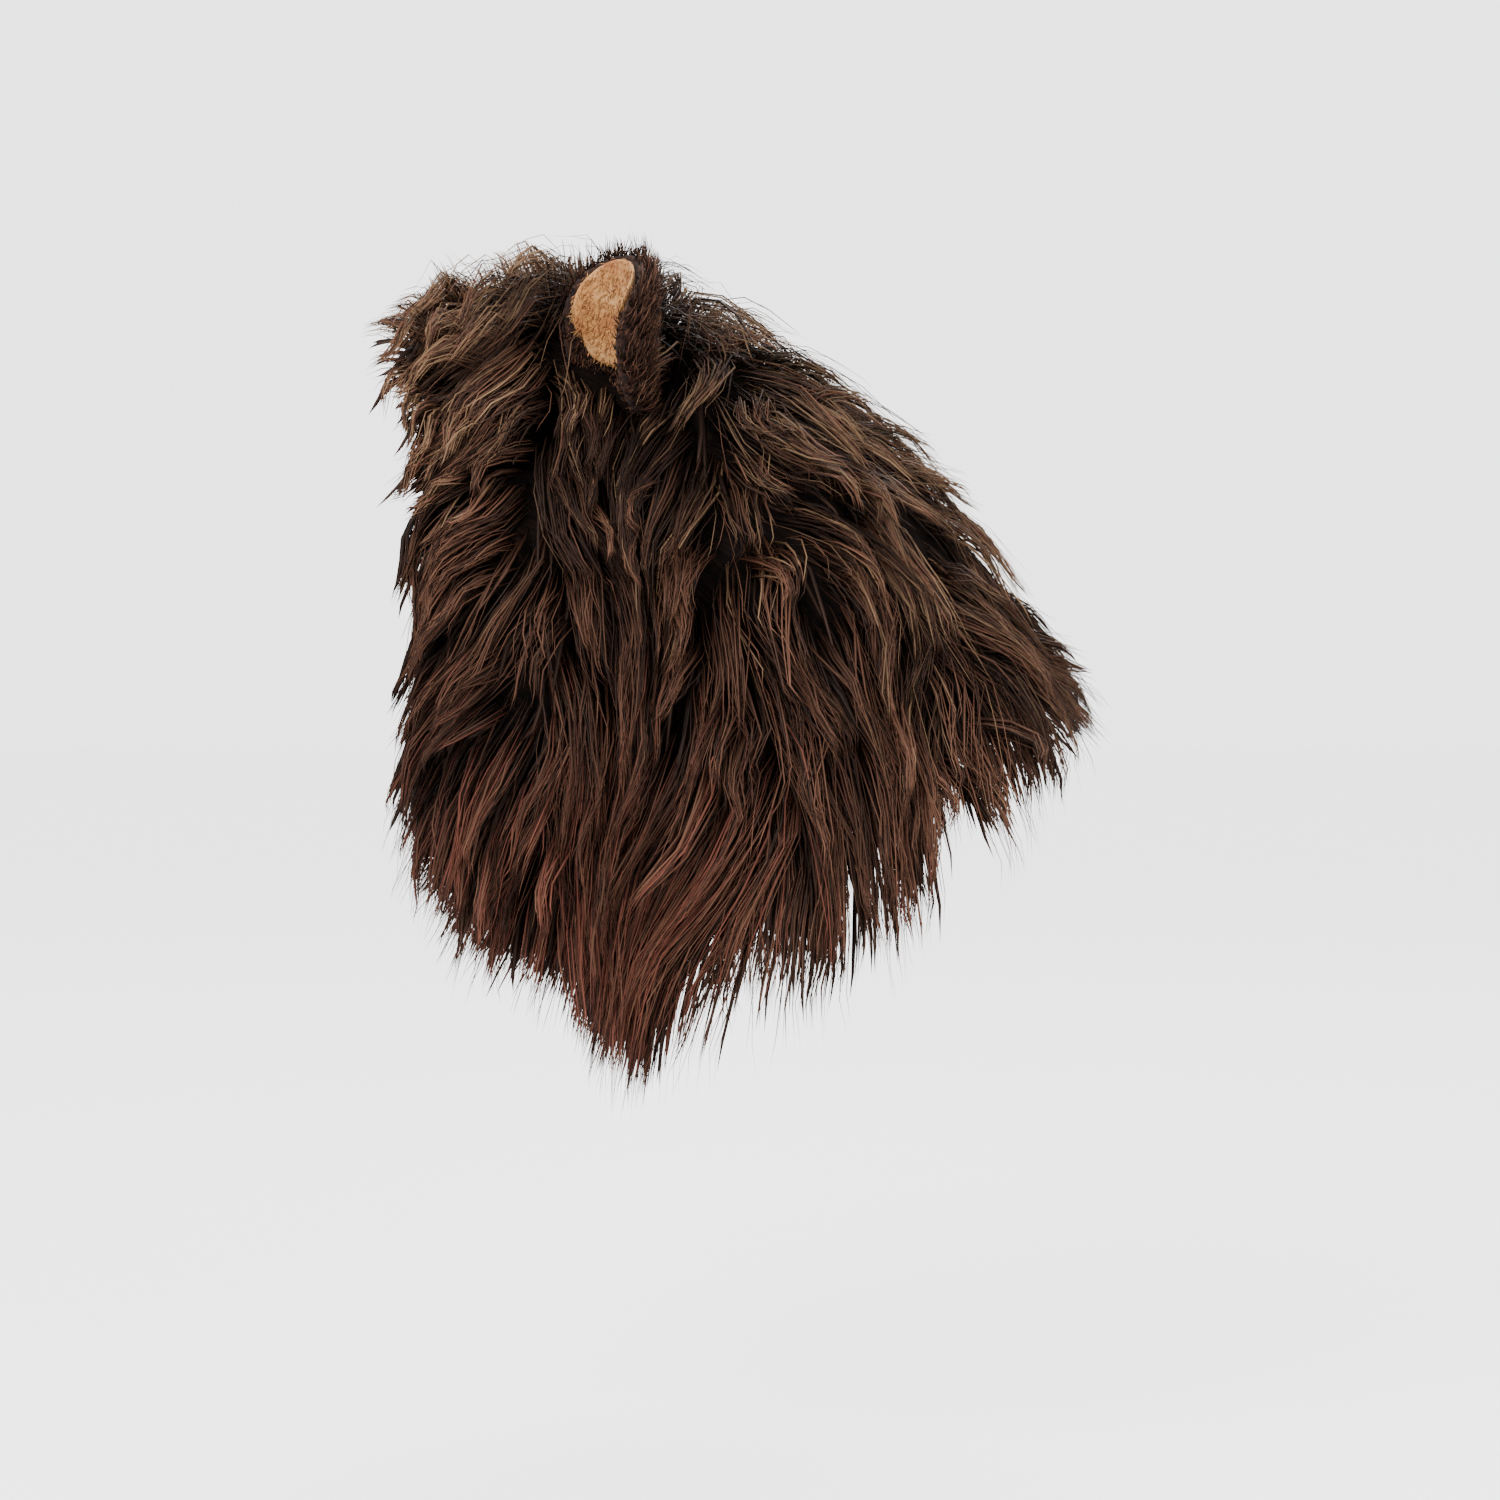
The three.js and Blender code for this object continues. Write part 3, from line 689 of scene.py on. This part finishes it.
# the fur's pieces, each a patch of the hood: lowest and highest angle in degrees, first and last at
furPatches = {
    "furCrown": (-55, 55, -1, 0.52), "furBack": (-55, 55, 0.52, 0.8), "furNape": (-55, 55, 0.8, 2),
    "furLeftCheek": (55, 130, -1, 0.5), "furLeftShoulder": (55, 130, 0.5, 2),
    "furRightCheek": (-130, -55, -1, 0.5), "furRightShoulder": (-130, -55, 0.5, 2),
    "furThroat": (130, 230, -1, 2),
}
strandParts = ("paths", "outs", "width", "thickness", "tone", "family", "twist")
for name, (low, high, first, last) in furPatches.items():
    degrees = np.degrees(fur["angle"])
    degrees = np.where((degrees < -130) & (high > 180), degrees + 360, degrees)
    pick = (degrees >= low) & (degrees < high) & (fur["at"] >= first) & (fur["at"] < last)
    piece = strandMesh(name, furProfile, longFur, **{part: fur[part][pick] for part in strandParts})
    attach(piece, "root")
    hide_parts("mane_fur")
print("stage: long fur grown")


# A place on the curled leaf: across it and up it in mm, and how far behind its face.
def leafPlace(side, acrossLeaf, height, behind):
    root, front, rise, across = earAxes(side)
    curl = curlAt(height / earLength)
    turn, radius = acrossLeaf / curl, curl + behind
    place = rise * height[..., None] + across * (radius * np.sin(turn))[..., None]
    return root + (place + front * (curl - radius * np.cos(turn))[..., None]) * mm


# An ear pad's middle, and its rim as bearings round that middle with their reach.
def leafOutline(outline, side):
    half = earPlan["wide"] / 2
    # the front edge is where across is negative on the left ear and positive on the right
    rim = [(-front * half * side, r * earLength) for r, front, back in outline]
    rim += [(back * half * side, r * earLength) for r, front, back in reversed(outline)]
    rim = np.array(rim)
    middle = np.array((0, (outline[0][0] + outline[-1][0]) / 2 * earLength))
    bearing = np.arctan2(rim[:, 1] - middle[1], rim[:, 0] - middle[0])
    order = np.argsort(bearing)
    return middle, bearing[order], np.linalg.norm(rim - middle, axis=1)[order]


# A pad from a ball: spread over the outline, flattened and curled, its edge rounded.
def makeEarPad(name, side, outline, nearFace, thick, material):
    bm = bmesh.new()
    bmesh.ops.create_uvsphere(bm, u_segments=56, v_segments=26, radius=1)
    middle, bearings, reaches = leafOutline(outline, side)
    ball = np.array([v.co for v in bm.verts])
    spread = np.minimum(np.hypot(ball[:, 0], ball[:, 1]), 1)
    bearing = np.arctan2(ball[:, 1], ball[:, 0])
    reach = np.interp(bearing, bearings, reaches, period=2 * math.pi)
    out = spread**0.8 * reach
    crown = np.sign(ball[:, 2]) * np.abs(ball[:, 2]) ** 0.7
    behind = nearFace + thick / 2 * (1 - crown)
    places = leafPlace(side, middle[0] + out * np.cos(bearing), middle[1] + out * np.sin(bearing), behind)
    for v, place in zip(bm.verts, places):
        v.co = place
    for _ in range(2):
        bmesh.ops.smooth_vert(bm, verts=bm.verts, factor=0.5,
                              use_axis_x=True, use_axis_y=True, use_axis_z=True)
    bmesh.ops.recalc_face_normals(bm, faces=bm.faces)
    piece = finishPiece(name, bm, material)
    return piece


# Brown plush: dense pile, 8 to 17 mm, painted darker where it parts, as shade.
plushFinish = {"brown": ("#140b08", "#2f1a12", "#4c2c1f"), "roughness": 0.7, "clumpSize": 5.0}
# Tan plush: 3 to 5 mm pile, woven in slanting ribs 3.5 mm apart, rosier in its creases; its darker creases
# and paler rib tops are painted shade and painted highlight.
tanFinish = {"tan": ("#a5683f", "#c68c52", "#d4a06a"), "roughness": 0.85, "ribGap": 3.5, "clumpSize": 2.0}
ribSlope = (0.0, 0.35, 0.94)
ribRadian = 0.00056  # metres across the ribs for one radian of their wave


def makePlushMaterial(name, colours, finish, ribs):
    material, tree, shader = newMaterial(name)
    place = node(tree, "ShaderNodeTexCoord").outputs["Object"]
    clump = node(tree, "ShaderNodeTexNoise", {"Scale": 1 / (finish["clumpSize"] * mm), "Detail": 3.0},
                 Vector=place)
    tone = clump.outputs["Fac"]
    if ribs:
        level = node(tree, "ShaderNodeVectorMath", {"operation": "DOT_PRODUCT", 1: ribSlope}, _0=place)
        bend = node(tree, "ShaderNodeTexNoise", {"Scale": 90.0, "Detail": 1.0}, Vector=place)
        perRib = 2 * math.pi / (finish["ribGap"] * mm)
        turn = node(tree, "ShaderNodeMath", {"operation": "MULTIPLY_ADD", 1: perRib},
                    _0=level.outputs["Value"],
                    _2=node(tree, "ShaderNodeMath", {"operation": "MULTIPLY", 1: 5.0},
                            _0=bend.outputs["Fac"]).outputs["Value"])
        rib = node(tree, "ShaderNodeMath", {"operation": "SINE"}, _0=turn.outputs["Value"])
        patch = node(tree, "ShaderNodeTexNoise", {"Scale": 60.0, "Detail": 1.0}, Vector=place)
        part = node(tree, "ShaderNodeMath", {"operation": "MULTIPLY_ADD", 1: 0.05}, _0=rib.outputs["Value"],
                    _2=patch.outputs["Fac"])
        tone = node(tree, "ShaderNodeMath", {"operation": "MULTIPLY_ADD", 1: 0.35}, _0=clump.outputs["Fac"],
                    _2=part.outputs["Value"]).outputs["Value"]
        stops = ((0.48, colours[0]), (0.66, colours[1]), (0.86, colours[2]))
    else:
        stops = ((0.3, colours[0]), (0.52, colours[1]), (0.75, colours[2]))
    # the colour follows the bump's height, darker where it dips: painted shade where the pile parts and in
    # the ribs' creases, and painted highlight on the rib tops
    tree.links.new(shader.inputs["Base Color"], ramp(tree, stops, tone))
    bump = node(tree, "ShaderNodeBump", {"Strength": 0.5, "Distance": 0.8 * mm}, Height=tone)
    tree.links.new(shader.inputs["Normal"], bump.outputs["Normal"])
    shader.inputs["Roughness"].default_value = finish["roughness"]
    shader.inputs["Specular IOR Level"].default_value = 0.2
    shader.inputs["Sheen Weight"].default_value = 0.15
    return material


# The pile of the tan plush, drawn 0.6 mm wide so that it shows; the ribs lie as paler and rosier rows with
# darker rows in their creases, which are painted highlight and painted shade.
tanDyes = {"creaseShade": ("#7a4a2e", "#b0754a", "#c08a60"), "tan": ("#875533", "#be8650", "#d09c66"),
           "pale": ("#92613a", "#c9935c", "#d9aa76"), "rose": ("#7d4e36", "#b67c58", "#c8926e")}
tanPileFinish = {"roughness": 0.7, "specular": 0.2, "palest": 1.28, "darkest": 0.76, "streaks": 420.0}
tanPile = makeFurMaterial("tanPolyesterPile", tanPileFinish, tanDyes)
earHairPlan = {"seed": 23, "shell": 3200, "lining": 1000, "wisps": 70, "shellLength": (8, 17),
               "liningLength": (3.0, 5.4), "wispLength": (34, 62)}


def brownShades(start, rng):
    return np.where(rng.uniform(size=len(start)) < 0.45, 0, 1)


# painted shade and painted highlight: hairs in the ribs' creases take the darker dye, those on their tops the
# paler one
def ribShades(start, rng):
    rows = 1 + np.sin(start @ np.array(ribSlope) / ribRadian)
    return np.clip(np.round(rows + rng.normal(0, 0.5, len(start))), 0, 3)


# Short hairs over a pad's faces; keep tells from the place and the way out which ones stay, and rimShare
# shortens those on the side of the cup.
def coatPad(name, piece, side, count, lengths, width, up, standUp, rimShare, keep, shades, material, rng):
    mesh = piece.data
    mesh.calc_loop_triangles()
    corners = np.array([[mesh.vertices[i].co for i in t.vertices] for t in mesh.loop_triangles])
    normals = np.array([[mesh.vertices[i].normal for i in t.vertices] for t in mesh.loop_triangles])
    area = np.linalg.norm(np.cross(corners[:, 1] - corners[:, 0], corners[:, 2] - corners[:, 0]), axis=1)
    pick = rng.choice(len(area), size=count * 4, p=area / area.sum())
    mix = rng.dirichlet((1, 1, 1), count * 4)[..., None]
    start, out = (corners[pick] * mix).sum(axis=1), unit((normals[pick] * mix).sum(axis=1))
    stay = np.nonzero(keep(start, out))[0][:count]
    start, out = start[stay], out[stay]
    front, rise = earAxes(side)[1:3]
    along = rise * up[0] - front * up[1] + rng.normal(0, 0.35, (len(stay), 3))
    along = unit(along - out * np.sum(along * out, axis=1, keepdims=True))
    length = rng.uniform(*lengths, len(stay)) * mm * np.where(out @ front > 0.1, rimShare, 1)
    share = np.array((0, 0.35, 0.7, 1.0))
    upwards = out[:, None] * (standUp * np.sin(share * 1.5))[None, :, None]
    onwards = along[:, None] * (share**1.4)[None, :, None]
    paths = start[:, None] - out[:, None] * 0.6 * mm + length[:, None, None] * (upwards + onwards)
    outs = np.repeat(out[:, None], 4, axis=1)
    widths = rng.uniform(0.8, 1.2, len(stay)) * width * mm
    tone = rng.uniform(0, 1, len(stay))
    fuzz = strandMesh(name, np.array((0.8, 1.0, 0.6)), material, paths, outs, widths, widths * 0.5, tone,
                      shades(start, rng), rng.normal(0, 0.5, (len(stay), 3)))
    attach(fuzz, "root")
    return fuzz


# Long thin wisps that stand off the ear's upper edge and arc over to the back.
def makeWisps(name, side, plan, rng):
    count = plan["wisps"]
    height = rng.uniform(60, 100, count)
    half = halfWidth(shellOutline, height / earLength, np.full(count, -1))
    start = leafPlace(side, rng.uniform(-0.7, 0.9, count) * half * side, height, np.full(count, 5.0))
    length = rng.uniform(*plan["wispLength"], count) * mm
    share = np.linspace(0, 1, 7)
    away = unit(np.array((0.15 * side, 0.75, 0.7)) + rng.normal(0, 0.32, (count, 3)))
    sag = rng.uniform(0.3, 0.75, count)
    paths = start[:, None] + length[:, None, None] * (away[:, None] * share[None, :, None])
    paths = paths - (length * sag)[:, None, None] * (share**2)[None, :, None] * np.array((0, 0.1, 1))
    high = np.interp(paths[..., 1] / mm, *np.array(topLine).T) * mm + rng.uniform(0.002, 0.01, count)[:, None]
    paths[..., 2] = np.minimum(paths[..., 2], high)
    outs = np.repeat(unit(np.cross(away, np.array((1.0, 0, 0))))[:, None], 7, axis=1)
    widths = rng.uniform(0.4, 0.6, count) * mm
    wisps = strandMesh(name, np.array((1, 1, 0.9, 0.8, 0.7, 0.5)), longFur, paths, outs, widths, widths * 0.6,
                       rng.uniform(0, 0.5, count), np.zeros(count), rng.normal(0, 0.4, (count, 6)))
    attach(wisps, "root")
    return wisps


earRng = np.random.default_rng(earHairPlan["seed"])
brownPlush = makePlushMaterial("brownPolyesterPlush", plushFinish["brown"], plushFinish, False)
tanPlush = makePlushMaterial("tanPolyesterPlush", tanFinish["tan"], tanFinish, True)
for sideName, side in (("left", 1), ("right", -1)):
    shell = makeEarPad(f"{sideName}EarShell", side, shellOutline, 0, earPlan["thick"], brownPlush)
    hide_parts(f"{sideName}_ear_shell")
    lining = makeEarPad(f"{sideName}EarLining", side, liningOutline, -earPlan["liningThick"] - earPlan["gap"],
                        earPlan["liningThick"], tanPlush)
    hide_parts(f"{sideName}_ear_lining")
    back = -earAxes(side)[1]
    shellHair = coatPad(f"{sideName}EarShellHair", shell, side, earHairPlan["shell"],
                        earHairPlan["shellLength"], 0.8, (0.9, 0.25), 0.5, 0.45,
                        lambda start, out: offLining(start, side), brownShades, longFur, earRng)
    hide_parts(f"{sideName}_ear_shell")
    wisps = makeWisps(f"{sideName}EarWisps", side, earHairPlan, earRng)
    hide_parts(f"{sideName}_ear_shell")
    liningHair = coatPad(f"{sideName}EarLiningHair", lining, side, earHairPlan["lining"],
                         earHairPlan["liningLength"], 0.6, (-0.6, -0.5), 0.42, 1,
                         lambda start, out: out @ back < 0.1, ribShades, tanPile, earRng)
    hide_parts(f"{sideName}_ear_lining")
print("stage: ears made")

# The knitted hood under the fur: one layer of cloth, its edge folded in at the face hole and at the neck
# hole. In mm.
backingPlan = {"around": 120, "wall": 2.2, "hem": 4.5, "rowGap": 2.6, "waleGap": 3.4}
# at and how far inside the outer face, from one folded edge round to the other
backingPath = [(0.05, 1.0), (0.028, 1.0), (0.008, 0.99), (-0.006, 0.9), (-0.012, 0.5), (-0.006, 0.1),
               (0.008, 0.01)]
backingPath += [(at, 0) for at in np.linspace(0.028, 0.972, 35)]
backingPath += [(1 - at, inside) for at, inside in reversed(backingPath[:7])]


# A sheet over the hood from a grid: path gives at and the lift off the cloth for each row.
def wrapSheet(around, path, liftAt):
    bm = bmesh.new()
    bmesh.ops.create_grid(bm, x_segments=around, y_segments=len(path) - 1, size=0.5)
    flat = np.array([v.co for v in bm.verts])
    turn = flat[:, 0] + 0.5
    row = np.rint((flat[:, 1] + 0.5) * (len(path) - 1)).astype(int)
    at = np.array([p[0] for p in path])[row]
    angle = turn * 2 * math.pi
    point, perAngle, perAt, out = clothFrame(angle, at)
    places = point + out * liftAt(angle, at, point, row)[:, None]
    uv = bm.loops.layers.uv.new("cloth")
    # the sheet's own sizes in metres: round the hood and along it
    steps = [max(abs(b[0] - a[0]), 0.004) * 0.36 for a, b in zip(path, path[1:])]
    along = np.concatenate([[0], np.cumsum(steps)])
    for face in bm.faces:
        for loop in face.loops:
            i = loop.vert.index
            loop[uv].uv = (turn[i] * 0.8, along[row[i]])
    for v, place in zip(bm.verts, places):
        v.co = place
    bmesh.ops.remove_doubles(bm, verts=bm.verts, dist=1e-6)
    bmesh.ops.recalc_face_normals(bm, faces=bm.faces)
    return bm


def facesOut(bm):
    bm.faces.ensure_lookup_table()
    bm.normal_update()
    # a face halfway along the sheet tells which way it points
    middle = max(bm.faces, key=lambda face: abs(face.calc_center_median().x))
    if middle.normal.x * middle.calc_center_median().x < 0:
        bmesh.ops.reverse_faces(bm, faces=bm.faces)


def thicken(piece, thickness, offset):
    wall = piece.modifiers.new("wall", "SOLIDIFY")
    wall.thickness, wall.offset = thickness, offset


# Rib-knit acrylic: V-shaped stitches in wales 3.4 mm apart, soft and matt; the colour darkens where the
# stitches dip, as painted shade.
def makeKnitMaterial(name, plan):
    material, tree, shader = newMaterial(name)
    uv = node(tree, "ShaderNodeUVMap", {"uv_map": "cloth"})
    parts = node(tree, "ShaderNodeSeparateXYZ", Vector=uv.outputs["UV"])
    wale = node(tree, "ShaderNodeMath", {"operation": "MULTIPLY", 1: 2 * math.pi / (plan["waleGap"] * mm)},
                _0=parts.outputs["X"])
    waleWave = node(tree, "ShaderNodeMath", {"operation": "COSINE"}, _0=wale.outputs["Value"])
    slant = node(tree, "ShaderNodeMath", {"operation": "ABSOLUTE"},
                 _0=node(tree, "ShaderNodeMath", {"operation": "SINE"},
                         _0=node(tree, "ShaderNodeMath", {"operation": "MULTIPLY", 1: 0.5},
                                 _0=wale.outputs["Value"]).outputs["Value"]).outputs["Value"])
    row = node(tree, "ShaderNodeMath", {"operation": "MULTIPLY_ADD", 1: 2 * math.pi / (plan["rowGap"] * mm)},
               _0=parts.outputs["Y"], _2=node(tree, "ShaderNodeMath", {"operation": "MULTIPLY", 1: 2.4},
                                              _0=slant.outputs["Value"]).outputs["Value"])
    rowWave = node(tree, "ShaderNodeMath", {"operation": "COSINE"}, _0=row.outputs["Value"])
    stitch = node(tree, "ShaderNodeMath", {"operation": "MULTIPLY_ADD", 1: 0.7}, _0=waleWave.outputs["Value"],
                  _2=rowWave.outputs["Value"])
    tone = node(tree, "ShaderNodeMapRange", {"From Min": -1.7, "From Max": 1.7},
                Value=stitch.outputs["Value"])
    # painted shade: darker where the stitch bump dips
    colour = ramp(tree, ((0.1, "#0e0907"), (0.5, "#2a1d17"), (0.95, "#45332a")), tone.outputs["Result"])
    tree.links.new(shader.inputs["Base Color"], colour)
    bump = node(tree, "ShaderNodeBump", {"Strength": 0.8, "Distance": 0.7 * mm},
                Height=tone.outputs["Result"])
    tree.links.new(shader.inputs["Normal"], bump.outputs["Normal"])
    shader.inputs["Roughness"].default_value = 0.9
    shader.inputs["Specular IOR Level"].default_value = 0.2
    return material


rows = np.array([p[1] for p in backingPath])
cloth = wrapSheet(backingPlan["around"], backingPath,
                  lambda angle, at, point, row: -rows[row] * backingPlan["hem"] * mm)
facesOut(cloth)
backing = finishPiece("hoodBacking", cloth, makeKnitMaterial("ribKnitAcrylic", backingPlan))
thicken(backing, backingPlan["wall"] * mm, -1)
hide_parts("hood_backing")
ring = clothPoint(np.linspace(0, 2 * math.pi, 97), np.full(97, 0.5))
print("stage: hood backing made")

# The dense underfur that fills between the locks: matted, thinning to the cloth at both holes; its near-black
# colour is painted shade between the locks.
underPlan = {"around": 130, "rows": 52, "share": 0.36, "first": 0.0, "last": 1.0, "wall": 1.2, "tuft": 24,
             "fine": 11}


def underLift(angle, at, point, row):
    edge = clamp(np.minimum(at - underPlan["first"], underPlan["last"] - at) / 0.09) ** 0.6
    tufts = 1 + 0.12 * smoothNoise(point, 31, underPlan["tuft"])
    tufts = np.clip(tufts + 0.1 * smoothNoise(point, 37, underPlan["fine"]), 0.6, 1.3)
    over = 1 + 0.35 * clamp(np.cos(angle) * 2 - 0.9)
    # lower where fur starts: at the ears and at the whorl
    parted = 0.85 * bell(earNearness(point), 0.045)
    fromWhorl = np.linalg.norm(point - whorl * (0, 1, 0), axis=1)
    parted = np.maximum(parted, 0.6 * bell(fromWhorl, 0.06))
    depth = furDepthAt(angle, at, point) * underPlan["share"] * edge * over
    return 1.5 * mm + depth * tufts * (1 - parted)


# Matted underfur, drawn down into ridges 2 mm apart; its near-black colour, darkest in the ridges' dips, is
# painted shade between the locks.
def makeShadeUnderfurMaterial(name):
    material, tree, shader = newMaterial(name)
    uv = node(tree, "ShaderNodeUVMap", {"uv_map": "cloth"})
    drawn = node(tree, "ShaderNodeVectorMath", {"operation": "MULTIPLY", 1: (1 / (2 * mm), 1 / (22 * mm), 1)},
                 _0=uv.outputs["UV"])
    ridges = node(tree, "ShaderNodeTexNoise", {"Scale": 1.0, "Detail": 4.0, "Distortion": 1.2},
                  Vector=drawn.outputs["Vector"])
    # painted shade: near black, darkest where the ridges dip
    colour = ramp(tree, ((0.35, "#070403"), (0.55, "#120a07"), (0.72, "#20130d")), ridges.outputs["Fac"])
    tree.links.new(shader.inputs["Base Color"], colour)
    bump = node(tree, "ShaderNodeBump", {"Strength": 1.0, "Distance": 2 * mm}, Height=ridges.outputs["Fac"])
    tree.links.new(shader.inputs["Normal"], bump.outputs["Normal"])
    shader.inputs["Roughness"].default_value = 0.85
    shader.inputs["Specular IOR Level"].default_value = 0.1
    return material


underRows = np.linspace(underPlan["first"], underPlan["last"], underPlan["rows"])
under = wrapSheet(underPlan["around"], [(at, 0) for at in underRows], underLift)
facesOut(under)
underfur = finishPiece("underfur", under, makeShadeUnderfurMaterial("paintedShadeUnderfur"))
thicken(underfur, underPlan["wall"] * mm, -1)
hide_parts("mane_fur")
print("stage: underfur made")

# Light and floor.
stagePlan = {"floor": -0.66, "world": 1.0, "backdrop": 3.1}


def makeStage(plan):
    bm = bmesh.new()
    bmesh.ops.create_grid(bm, x_segments=1, y_segments=1, size=6)
    bmesh.ops.translate(bm, verts=bm.verts, vec=(0, 0, plan["floor"]))
    mesh = bpy.data.meshes.new("floor")
    bm.to_mesh(mesh)
    bm.free()
    material, tree, shader = newMaterial("whiteStudioPaint")
    shader.inputs["Base Color"].default_value = linear("#f4f4f4")
    shader.inputs["Roughness"].default_value = 0.9
    # a light table: it shows white, and its glow doesn't fall on the mane
    shader.inputs["Emission Color"].default_value = (1, 1, 1, 1)
    shader.inputs["Emission Strength"].default_value = plan["backdrop"] - 1
    mesh.materials.append(material)
    floor = addObject("floor", mesh)
    floor.visible_diffuse = floor.visible_glossy = floor.visible_transmission = False
    world = bpy.data.worlds.new("studio")
    world.use_nodes = True
    background = world.node_tree.nodes["Background"]
    background.inputs["Color"].default_value = (1, 1, 1, 1)
    seen = node(world.node_tree, "ShaderNodeLightPath").outputs["Is Camera Ray"]
    levels = {"To Min": plan["world"], "To Max": plan["backdrop"]}
    strength = node(world.node_tree, "ShaderNodeMapRange", levels, Value=seen)
    world.node_tree.links.new(background.inputs["Strength"], strength.outputs["Result"])
    bpy.context.scene.world = world


def addLight(name, place, target, size, power):
    data = bpy.data.lights.new(name, "AREA")
    data.size, data.energy = size, power
    light = addObject(name, data)
    light.location = place
    light.rotation_euler = (Vector(target) - Vector(place)).to_track_quat("-Z", "Y").to_euler()


makeStage(stagePlan)
addLight("keyLight", (1.6, -0.9, 1.3), (0, 0.1, -0.2), 1.0, 55)
addLight("fillLight", (1.5, 1.4, 0.4), (0, 0.15, -0.25), 1.2, 22)
addLight("backLight", (-1.4, 0.4, 1.4), (0, 0.1, -0.1), 1.0, 30)
print("stage: light ready")
